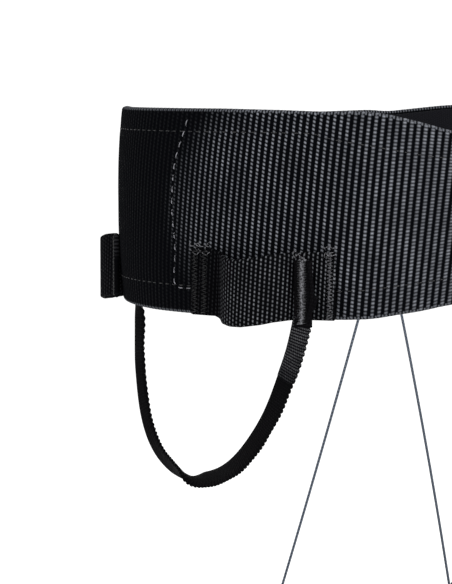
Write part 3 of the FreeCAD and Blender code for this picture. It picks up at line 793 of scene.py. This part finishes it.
# the gap between the belt's ring and what is sewn on at the hips
SEWN_GAP = 0.3
TUNNELS = {"front": -133.4, "rear": -257.0}
TUNNEL_HALF = 15.0
TUNNEL_RISE = 8.6
TUNNEL_WEB = 1.8
TUNNEL_HIGH = -13.9
TUNNEL_HEIGHT = 24.6
TUNNEL_SHIFT = {"front": 0.0, "rear": 1.6}
# how far the tunnel's webbing sags, by place along it
TUNNEL_SAG = [(-30, 0), (-18.5, 0), (-15.5, 1.3), (-12.5, 2.5), (-7, 3.0), (-2, 2.9), (5, 1.8),
              (9, 0.9), (14, 0.3), (20, 0)]
TAPE_OUT = SEWN_GAP + TUNNEL_WEB + 0.2 + 1.0
TAPE_WIDTH = 7.0
TAPE_THICK = 1.5
TAPE_FROM_TUNNEL = 19.2
SCALLOP = 2.4
# places along the gear loop from its rear end, and their heights
GEAR_LINE = [(4.5, -38.5), (8.2, -47.0), (8.0, -58.0), (9.6, -72.0), (13.2, -84.7),
             (21.0, -95.8), (31.5, -102.2), (44.0, -105.8), (57.0, -107.3), (71.0, -105.8),
             (85.5, -101.8), (99.0, -95.4), (112.2, -86.3), (125.2, -74.5), (137.2, -59.0),
             (143.6, -49.5)]
# the turn of the tape about its own line, in degrees, by place along the loop
GEAR_TURN = [(-2, 101), (4.5, 92), (7, 70), (8.5, 57), (22, 54), (38, 50), (48, 62), (54, 90),
             (59, 118), (66, 136), (80, 142), (100, 148), (125, 152), (140, 158), (147, 163),
             (152, 163)]
GEAR_END = -61.0
# the way that the tape's turn is measured from
FACING = np.array((0.309, 0.951, -0.05))


def tunnel_line(centre, ends):
    foot = SEWN_GAP + TUNNEL_WEB / 2.0
    rising = [(TUNNEL_HALF, foot), (TUNNEL_HALF - 2.5, 3.2), (TUNNEL_HALF - 7.5, TUNNEL_RISE - 1.7)]
    bulge = [(-along, out) for along, out in rising] + [(0.0, TUNNEL_RISE)] + rising[::-1]
    feet = [[(near + (end - near) * part, foot) for part in (0.2, 0.6, 1.0)]
            for end, near in zip(ends, (-TUNNEL_HALF, TUNNEL_HALF))]
    line = feet[0][::-1] + bulge + feet[1]
    return np.array([WAIST.point(centre + along, out) for along, out in line])


def edge_relief(u, v):
    return -0.1 * (np.cos((u + EDGE_LEAN * v) / EDGE_RIB * 2 * math.pi) + 0.2)


def frayed_head(body, surface, arc, height, place, seed):
    """The few loose loops of thread where a bar tack begins."""
    chance = np.random.default_rng(seed)
    for _ in range(9):
        at, up = arc + chance.uniform(-2.2, 2.2), height + chance.uniform(-1.6, 2.4)
        turn, size = chance.uniform(0, math.pi), chance.uniform(0.6, 1.3)
        t = np.linspace(-1, 1, 6)
        lift = 0.15 + 0.5 * (1 - t ** 2)
        thread(body, surface(at + t * size * math.cos(turn), up + t * size * math.sin(turn), lift),
               0.11, 4, place, "tack")


def gear_tape(side, place):
    """The gear loop: a flat tape with one scalloped edge that twists as it hangs."""
    rear = WAIST.point(TUNNELS["rear"] - TAPE_FROM_TUNNEL, TAPE_OUT)
    front = WAIST.point(TUNNELS["front"] + TAPE_FROM_TUNNEL, TAPE_OUT)
    along = unit(front - rear)
    length = np.linalg.norm(front - rear)
    plan = [(u, z, 0) for u, z in GEAR_LINE] + [(length - 0.3, -38.0, 0)]
    walk = spline(plan, 0.4)
    line = rear + along * walk[:, :1] + UP * walk[:, 1:2]
    t = tangents(line)
    inner = unit(np.cross(t, FACING))
    other = np.cross(t, inner)
    degrees = np.interp(walk[:, 0], *np.array(GEAR_TURN, float).T)
    soft = np.ones(13) / 13
    degrees = np.convolve(np.pad(degrees, 6, mode="edge"), soft, "valid")
    turn = np.radians(degrees)[:, None]
    across = inner * np.cos(turn) + other * np.sin(turn)

    def scallops(u, a, b):
        edge = np.clip((a - 1.2) / 2.0, 0, 1)
        uneven = 1.0 + 0.25 * np.sin(u / 7.3) + 0.2 * np.sin(u / 3.1)
        bump = 0.65 * uneven * np.abs(np.sin(u / SCALLOP * math.pi)) - 0.4
        return a + edge * bump, b * (1.0 - 0.25 * edge * np.abs(np.cos(u / SCALLOP * math.pi)))

    tape = web("gear_tape_" + side, line, across, TAPE_WIDTH, TAPE_THICK, TAPE_CLOTH, place, 8,
               relief=grooves(0.06, 1.1), shape=scallops)
    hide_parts("gear_loop_" + side)
    doubled = (line[:, 2] > GEAR_END) & (walk[:, 0] > length / 2.0)
    end = web("gear_tape_end_" + side, line[doubled], across[doubled], TAPE_WIDTH + 0.3,
              TAPE_THICK + 0.5, FLECK_CLOTH, place, 8, shape=scallops,
              relief=lambda u, v: 0.1 * np.cos(v / 1.3 * 2 * math.pi) * np.cos(u / 0.8 * math.pi))
    for piece in (tape, end):
        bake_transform(piece)


for side in SIDES:
    place = hip_side(side)
    for name, centre in TUNNELS.items():
        shift = TUNNEL_SHIFT[name]
        front = name == "front"
        ends = (-28.3, 30.0) if front else (-30.0, 28.3)
        line = spline(tunnel_line(centre, ends), 0.4)
        middle = TUNNEL_HIGH - TUNNEL_HEIGHT / 2.0 + shift
        spread = np.linspace(ends[0], ends[1], len(line))
        line[:, 2] = middle - np.interp(spread, *np.array(TUNNEL_SAG, float).T)
        # the rear tunnels take the darker copy of the edge webbing: painted shade
        settle(web(f"clip_tunnel_{name}_{side}_weave", line, UP, TUNNEL_HEIGHT, TUNNEL_WEB,
                   EDGE_CLOTH if front else EDGE_CLOTH_PAINTED_SHADE, place, 14, relief=edge_relief),
               "root", [f"clip_tunnel_{name}_{side}"])
        surface = on_ring(WAIST, SEWN_GAP + TUNNEL_WEB + 0.06, shift)
        on_tape = on_ring(WAIST, TAPE_OUT + 1.05, shift)
        sign = 1.0 if front else -1.0
        arc = centre + sign * TAPE_FROM_TUNNEL
        low, high = -40.6, -17.2
        heights = np.arange(high, low, -0.6) + shift
        tape = WAIST.point(np.full(len(heights), arc), TAPE_OUT, heights)
        settle(web(f"gear_loop_end_{name}_{side}_tape", tape, WAIST.tangent(arc),
                   TAPE_WIDTH, 1.8, TAPE_CLOTH, place, 8, relief=grooves(0.12, 1.1)),
               "root", [f"gear_loop_end_{name}_{side}"])
        bar_tack("root", on_tape, arc - sign * 0.2, low + 0.9, high + 0.6, 3.4, 0.3, 0.22, place)
        bar_tack("root", surface, centre + sign * 28.6, low + 2.6, high + 3.4, 2.6, 0.62, 0.15,
                 place)
        for back in (-21.9, -26.4):
            bar_tack("root", surface, centre + sign * back, low + 3.0, high + 2.4, 3.0, 0.7,
                     0.14, place, "dark_thread")
        if front:
            frayed_head("root", on_tape, arc - sign * 1.2, high + 1.4, place, 11)
            frayed_head("root", surface, centre + sign * 28.6, high + 3.0, place, 12)
            for back in (-21.9, -26.4):
                frayed_head("root", surface, centre + sign * back, high + 2.6, place, 13)
        # the tape's folded end beside the tack: two crossing folds that make a V
        for fold in (((2.4, -17.5), (3.4, -24.0), (3.6, -31.0), (1.6, -38.8)),
                     ((5.2, -29.5), (4.4, -33.0), (2.8, -36.0), (1.6, -39.0))):
            points = [on_tape(arc + sign * a, z, 0.25) for a, z in fold]
            line = spline(points, 0.5)
            fold_part = web(f"tape_fold_{name}_{side}_{len(THREADS)}_{int(fold[0][0])}", line,
                            unit(np.cross(WAIST.outward(arc), tangents(line))), 1.5,
                            0.7, TAPE_CLOTH, place, 3)
            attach(fold_part, "root")
    gear_tape(side, place)


# ------------ straps and keepers

STRAP_LIFT = 4.0


def strap_line(ring, arc, start_offset, start_arc, tail_end, cruise):
    run = arc - 20.0 - start_arc
    steps = max(2, round(run / 9.0))
    points = [ring.point(start_arc + run * k / steps, start_offset) for k in range(steps + 1)]
    bend = [(-12.6, -1.9), (-9.2, -0.2), (-8.0, 2.6), (-8.0, 5.4), (-5.8, 7.6),
            (-1.5, 8.3), (6.0, 8.0), (16.0, 7.0)]
    points += [ring.local(arc, along, out) for along, out in bend]
    points += [ring.point(arc + 32.0, cruise + 2.4), ring.point(arc + 48.0, cruise)]
    station = arc + 60.0
    while station < tail_end - 8.0:
        points.append(ring.point(station, cruise))
        station += 12.0
    points.append(ring.point(tail_end, cruise))
    return np.array(points)


def loop_line(ring, arc, tail):
    thick = 1.5
    middle = 0.6 + 1.4
    radius = 1.4 + 0.35 + thick / 2.0
    centre = 10.5 - 0.4 - thick / 2.0 + radius
    nose = [ring.local(arc, centre + radius * math.cos(math.radians(turn)),
                       middle + radius * math.sin(math.radians(turn)))
            for turn in (90, 120, 150, 180, 210, 240, 270)]
    sewn = [arc + 31.0 + (tail - 31.0) * k / 3.0 for k in range(4)]
    outer = [ring.point(station, 0.4 + 1.5 * thick + 0.1) for station in sewn[::-1]]
    outer.append(ring.local(arc, 16.0, middle + radius))
    inner = [ring.local(arc, 16.0, middle - radius)]
    inner += [ring.point(station, 0.4 + 0.5 * thick) for station in sewn]
    return np.array(outer + nose + inner)


def keeper_line(ring, arc, strap_height, cruise):
    back, front = 0.7, cruise + 0.9 + 0.3 + 0.55
    side = strap_height / 2.0 + 1.05
    corners = [(back, -side + 1), (back, 0), (back, side - 1), (back + 0.8, side),
               ((back + front) / 2, side), (front - 0.8, side), (front, side - 1), (front, 0),
               (front, -side + 1), (front - 0.8, -side), ((back + front) / 2, -side),
               (back + 0.8, -side)]
    return np.array([ring.local(arc, 0.0, out, z) for out, z in corners])


def raised(points, lift):
    return points + UP * lift


def closure(prefix, suffix, ring, body, place, lift, arc, start, tail_end, cruise, height,
            loop_tail, keepers):
    """A strap with its webbing loop and keepers. Its buckle plates are the CAD's own."""
    start_offset, start_arc = start
    line = raised(spline(strap_line(ring, arc, start_offset, start_arc, tail_end, cruise), 0.7),
                  lift)
    settle(web(prefix + "_strap" + suffix + "_weave", line, UP, height, 1.7, STRAP_CLOTH, place,
               12, relief=herringbone),
           body, [prefix + "_strap" + suffix])
    line = raised(spline(loop_line(ring, arc, loop_tail), 0.6), lift)
    settle(web(prefix + "_buckle_loop" + suffix + "_weave", line, UP, height, 1.4, STRAP_CLOTH,
               place, 10), body, [prefix + "_buckle_loop" + suffix])
    sewn = on_ring(ring, 0.4 + 3.0 + 0.16, lift)
    for back in (2.2, 6.6):
        bar_tack(body, sewn, arc + loop_tail - back, -height / 2 + 1.5, height / 2 - 1.5, 2.4,
                 0.7, 0.17, place)
    for name, at in keepers.items():
        line = raised(spline(keeper_line(ring, at, height, cruise), 0.5, True), lift)
        band_piece = web(prefix + "_keeper" + name + suffix + "_band", line,
                         -ring.tangent(at), 10.0, 0.95, BAND_CLOTH, place, 8, True,
                         relief=grooves(0.06, 1.0))
        settle(band_piece, body, [prefix + "_keeper" + name + suffix])
    # the tail's hem: folded back and sewn, so that it can't run out of the buckle
    hem = on_ring(ring, cruise + 0.9 + 0.12, lift)
    for back in (4.0, 8.0, 9.5):
        bar_tack(body, hem, tail_end - back, -height / 2 + 2, height / 2 - 2, 1.0, 1.6, 0.15,
                 place)


closure("waist", "", WAIST, "root", same, STRAP_LIFT, 60.0, (-3.2, 8.0), 226.0, 4.6, 38.0,
        43.0, {"_front": 169.0, "_rear": 207.0})
for side in SIDES:
    closure("leg", "_" + side, LEG, "leg_" + side, leg_side(side), 0.0, 52.0, (1.1, -26.0),
            150.0, 4.2, 20.0, 40.0, {"": 118.0})
sewn_start = on_ring(LEG, 2.1, 0.0)
for side in SIDES:
    for back in (-23.0, -19.0, -6.0):
        bar_tack("leg_" + side, sewn_start, back, -8.5, 8.5, 2.4, 0.7, 0.17, leg_side(side))


# ------------ tie-in, belay and haul loops

def upright(points, height, step=0.6, closed=False):
    line = spline(points, step, closed)
    line[:, 2] = height
    return line


TIE_REACH = -117.0 - 15.8
UPPER_TIE_Z, LOWER_TIE_Z = -8.0, -88.0
LOWER_BACK = -116.6
bulge_right = [(7.0, TIE_REACH + 0.5, 0), (12.5, TIE_REACH + 3.3, 0), (17.0, TIE_REACH + 9.6, 0)]
clear = 1.2 + 0.2
feet = [WAIST.point(21.0, clear + 1.0), WAIST.point(25.0, clear), WAIST.point(29.0, clear),
        WAIST.point(34.0, clear)]
right_half = [np.array(p) for p in bulge_right] + feet
upper_line = ([mirror(p) for p in right_half[::-1]] + [np.array((0.0, TIE_REACH, 0.0))]
              + right_half)
settle(web("upper_tie_in_webbing", upright(upper_line, UPPER_TIE_Z), UP, 22.0, 2.3, LOAD_CLOTH, rows=10),
       "root", ["upper_tie_in_loop"])
lower_half = [(8.0, TIE_REACH + 0.6, 0), (14.5, TIE_REACH + 3.4, 0), (19.5, TIE_REACH + 7.6, 0),
              (22.3, -121.2, 0), (21.3, -117.9, 0), (17.5, LOWER_BACK, 0), (9.0, LOWER_BACK, 0)]
lower_line = ([(0.0, TIE_REACH, 0)] + lower_half + [(0.0, LOWER_BACK, 0)]
              + [(-x, y, z) for x, y, z in lower_half[::-1]])
settle(web("lower_tie_in_webbing", upright(lower_line, LOWER_TIE_Z, 0.6, True), UP, 22.0, 2.3,
           LOAD_CLOTH, rows=10, closed=True), "root", ["lower_tie_in_loop"])
for name, height in (("upper", UPPER_TIE_Z), ("lower", LOWER_TIE_Z)):
    line = [p + np.array((0, 1.2 + 0.4 + 0.3, 0)) for p in upper_line if abs(p[0]) < 8.0]
    settle(web(name + "_wear_sleeve", upright(line, height), UP, 22.0, 0.8, GUARD_CLOTH, rows=8),
           "root", [name + "_wear_guard"])

front_foot = on_ring(WAIST, 1.4 + 1.2 + 0.1)
for sign in (1.0, -1.0):
    for arc in (24.5, 28.5, 32.5):
        bar_tack("root", front_foot, sign * arc, -18.0, 2.0, 2.2, 0.6, 0.18)


def stadium_line(y_low, y_high, z_low, z_high, step):
    radius, middle = (y_high - y_low) / 2.0, (y_low + y_high) / 2.0
    down = np.arange(z_high, z_low, -step)
    turn = np.linspace(0, math.pi, int(math.pi * radius / step), endpoint=False)
    return np.concatenate([
        np.stack([0 * down, 0 * down + y_high, down], -1),
        np.stack([0 * turn, middle + radius * np.cos(turn), z_low - radius * np.sin(turn)], -1),
        np.stack([0 * down, 0 * down + y_low, z_low + z_high - down], -1),
        np.stack([0 * turn, middle - radius * np.cos(turn), z_high + radius * np.sin(turn)], -1)])


BELAY_FRONT = -139.4
belay_line = stadium_line(BELAY_FRONT, -120.4, -99.0, -2.5, 0.8)
across_x = np.array((1.0, 0.0, 0.0))


def plies(u, a, b):
    """Two layers of webbing: a groove runs along each edge between them."""
    edge = np.abs(a) > 6.4
    return np.where(edge & (np.abs(b) < 0.4), a - np.sign(a) * 0.5, a), b


settle(web("belay_loop_webbing", belay_line, -across_x, 16.0, 3.9, LOAD_CLOTH, rows=10,
           closed=True, shape=plies), "belay_loop", ["belay_loop"])
belay_face = on_plane(BELAY_FRONT - 1.95 - 0.1, -1.0)
for centre in (-22.0, -30.0, -38.0, -62.0, -70.0, -78.0):
    cross_tack("belay_loop", belay_face, 0.0, 6.8, centre, 36, 1.2, 0.19)

turn = np.linspace(math.pi, 2 * math.pi, 9)
haul_foot = [(0.0, 126.4 + 7.0 * math.cos(t), -8.0 + 7.0 * math.sin(t)) for t in turn]
haul_line = ([(0, 120.7, 32.0), (0, 120.7, 27.0), (0, 120.5, 22.0), (0, 119.7, 17.0),
              (0, 119.4, 8.0), (0, 119.4, -2.0)] + haul_foot
             + [(0, 133.4, -2.0), (0, 131.0, 3.0), (0, 126.0, 10.0), (0, 123.0, 17.0),
                (0, 122.7, 22.0), (0, 122.7, 27.0), (0, 122.7, 32.0)])
haul = web("haul_loop_webbing", spline(haul_line, 0.6), across_x, 15.0, 1.9, STRAP_CLOTH, rows=8)
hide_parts("haul_loop")
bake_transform(haul)
for centre in (25.5, 31.0):
    cross_tack("root", on_plane(122.7 + 1.05, 1.0), 0.0, 6.4, centre, 34, 1.1, 0.18)


def patch(name, ring, arcs, heights, offset, thickness, body, place, node):
    """A sewn patch with a stitched box and cross."""
    arc = np.arange(arcs[0], arcs[1] + 0.1, 0.7)
    middle, height = (heights[0] + heights[1]) / 2.0, heights[1] - heights[0]
    line = ring.point(arc, offset, middle)
    settle(web(name, line, UP, height, thickness, STRAP_CLOTH, place, 8,
               relief=herringbone), body, [node])
    inset, lift = 2.0, offset + thickness / 2.0 + 0.05
    a, b = arcs[0] + inset, arcs[1] - inset
    c, d = heights[0] + inset, heights[1] - inset
    for start, end in (((a, c), (b, c)), ((b, c), (b, d)), ((b, d), (a, d)), ((a, d), (a, c)),
                       ((a, c), (b, d)), ((a, d), (b, c))):
        t = np.linspace(0, 1, 24)
        at, up = start[0] + (end[0] - start[0]) * t, start[1] + (end[1] - start[1]) * t
        seam(body, ring.point(at, lift, up), ring.outward(at), 2.6, 1.7, 0.15, place, "tack")


BACK = WAIST.perimeter / 2.0
patch("haul_loop_base_patch", WAIST, (BACK - 12.5, BACK + 12.5), (20.9, 32.9), 1.3, 2.1, "root",
      same, "haul_loop_base")
patch("riser_anchor_patch", WAIST, (BACK - 13.0, BACK + 13.0), (-36.7, -17.0), 1.5, 2.5, "root",
      same, "riser_anchor")
for side in SIDES:
    patch("riser_tab_" + side + "_patch", LEG, (-249.0, -233.0), (4.0, 29.0), 1.2, 1.9,
          "leg_" + side, leg_side(side), "riser_tab_" + side)


# ------------ leg loop bridges

BRIDGE_X = 37.0
BRIDGE_ROUTE = [(LOWER_BACK, -78.0), (LOWER_BACK, -92.0), (-106.0, -113.0),
                (-80.0, -136.0), (-50.0, -153.5)]


def bridge_line():
    """From the lower tie-in loop down and back, then onto the leg loop's outer face."""
    arc = np.linspace(-110.0, -30.0, 400)
    close = np.argmin(np.abs(on_left_leg(LEG.point(arc))[:, 0] - BRIDGE_X))
    at = arc[close]
    landing = [on_left_leg(LEG.point(at, out, height))
               for out, height in ((3.4, 27.0), (1.6, 21.0), (1.5, 12.0), (1.5, 2.0))]
    points = [np.array((BRIDGE_X, y, z)) for y, z in BRIDGE_ROUTE] + landing
    tangent = on_left_leg(LEG.tangent(at)) - LEG_CENTRE
    return spline(points, 0.7), tangent, at


line, landing_across, landing_arc = bridge_line()
share = np.clip((run_length(line) / run_length(line)[-1] - 0.35) / 0.4, 0, 1)[:, None]
share = share * share * (3 - 2 * share)
if landing_across[0] < 0:
    landing_across = -landing_across
bridge_across = unit(across_x * (1 - share) + landing_across * share)
for side in SIDES:
    place = same if side == "left" else mirror
    bridge = web("leg_bridge_" + side + "_webbing", line, bridge_across, 20.0, 2.1, LOAD_CLOTH,
                 place, 8)
    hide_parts("leg_bridge_" + side)
    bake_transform(bridge)
    for height in (17.0, 12.0, 6.0):
        cross_tack("leg_" + side, on_ring(LEG, 2.66), landing_arc, 8.5, height, 40, 1.1, 0.18,
                   leg_side(side))


# the lower tie-in loop's back layer runs on to both sides, behind the bridges' tops
YOKE_REACH = 47.5
YOKE_Y = -114.3
yoke_x = np.linspace(-YOKE_REACH, YOKE_REACH, 150)
yoke = np.stack([yoke_x, 0 * yoke_x + YOKE_Y, 0 * yoke_x + LOWER_TIE_Z], -1)
settle(web("lower_tie_in_yoke", yoke, UP, 21.0, 1.9, LOAD_CLOTH, rows=10), "root")

bridge_face = on_plane(LOWER_BACK - 1.15, -1.0)
for sign in (1.0, -1.0):
    for across in (30.5, 37.0, 43.5):
        bar_tack("root", bridge_face, sign * across, -95.0, -81.0, 2.0, 0.7, 0.18)


# ------------ buckle plates

for name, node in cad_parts.items():
    if "buckle_frame" in name or "buckle_slider" in name:
        node.data.materials.clear()
        node.data.materials.append(METAL)


# ------------ riser cords

CORD_DIAMETER = 1.2
# the middle point hangs a little inside the straight line between the cord's two ends
RISER_ROUTE = [(5.2, 118.5, -37.1), (28.2, 125.9, -128.0), (50.0, 145.9, -219.8)]


def route_line(points):
    """The smooth line that Blender's own spline gives for these control points."""
    curve = bpy.data.curves.new("route", "CURVE")
    curve.dimensions = "3D"
    route = curve.splines.new("NURBS")
    route.points.add(len(points) - 1)
    for point, place in zip(route.points, points):
        point.co = (*[c * MM for c in place], 1.0)
    route.order_u = 3
    route.use_endpoint_u = True
    route.resolution_u = 24
    holder = bpy.data.objects.new("route", curve)
    mesh = bpy.data.meshes.new_from_object(holder)
    line = np.array([v.co for v in mesh.vertices]) / MM
    bpy.data.objects.remove(holder)
    bpy.data.meshes.remove(mesh)
    return line


def braided_cord(name, line, diameter, material):
    sides = 12
    verts, faces = tube(line, diameter / 2.0, sides)
    runs = run_length(line)
    uvs = []
    for face in faces:
        # the last side's faces end a whole turn round, not back at the first
        last = len(face) == 4 and max(i % sides for i in face) == sides - 1
        for i in face:
            k, j = divmod(i, sides)
            uvs.append((runs[k], 1.0 if last and j == 0 else j / sides))
    return make_object(name, verts, faces, material, uvs)


for side, sign in SIDES.items():
    route = [(x * sign, y, z) for x, y, z in RISER_ROUTE]
    line = route_line(route)
    cord = braided_cord("riser_cord_" + side + "_braid", line, CORD_DIAMETER, CORD_CLOTH)
    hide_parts("riser_cord_" + side)
    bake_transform(cord)


# ------------ stage, light and camera

FLOOR_Z = -0.2785
FLOOR_HALF = 9
PALE = (0.93, 0.93, 0.93)
CAMERA_PLACE = (-0.4574, -1.0686, 0.051)
CAMERA_HEADING = (0.3090, 0.9511)
CAMERA_DROP = math.radians(4.34)
CAMERA_LENS = 179.5
WORLD_POWER = 1.1

scene = bpy.context.scene
floor_mesh = bpy.data.meshes.new("floor")
floor_mesh.from_pydata([(x * FLOOR_HALF, y * FLOOR_HALF, FLOOR_Z)
                        for x, y in ((-1, -1), (1, -1), (1, 1), (-1, 1))], [], [(0, 1, 2, 3)])
floor_shade = Shade("pale_floor", 0.9, 0.0)
grain = floor_shade.ramp(floor_shade.noise(3.0, 2.0), 0.2, 0.8)
floor_mesh.materials.append(floor_shade.cloth(grain, PALE, (0.95, 0.95, 0.95), None, 0.0))
floor = bpy.data.objects.new("floor", floor_mesh)
scene.collection.objects.link(floor)

world = bpy.data.worlds.new("studio")
scene.world = world
world.use_nodes = True
glow = world.node_tree.nodes["Background"].inputs
glow["Color"].default_value = (1.0, 1.0, 1.0, 1.0)
glow["Strength"].default_value = WORLD_POWER


def soft_light(name, place, target, size, power):
    light = bpy.data.lights.new(name, "AREA")
    light.shape = "RECTANGLE"
    light.size, light.size_y = size
    light.energy = power
    obj = bpy.data.objects.new(name, light)
    obj.location = place
    obj.rotation_euler = (Vector(target) - Vector(place)).to_track_quat("-Z", "Y").to_euler()
    scene.collection.objects.link(obj)


soft_light("key", (0.9, -1.8, 1.1), (-0.05, 0.0, 0.0), (1.2, 1.2), 60.0)
soft_light("fill", (-1.8, -0.9, 0.6), (-0.1, 0.0, -0.05), (1.4, 1.4), 14.0)

scene.view_settings.view_transform = "Standard"

camera_data = bpy.data.cameras.new("camera")
camera_data.lens = CAMERA_LENS
camera_data.sensor_width = 36.0
camera_data.clip_start, camera_data.clip_end = 0.05, 30.0
camera = bpy.data.objects.new("camera", camera_data)
camera.location = CAMERA_PLACE
look = Vector((*CAMERA_HEADING, 0.0)).normalized()
look = look * math.cos(CAMERA_DROP) - Vector((0, 0, 1)) * math.sin(CAMERA_DROP)
camera.rotation_euler = look.to_track_quat("-Z", "Y").to_euler()
scene.collection.objects.link(camera)
scene.camera = camera

finish_threads({"thread": THREAD_CLOTH, "tack": TACK_CLOTH, "dark_thread": DARK_CLOTH})
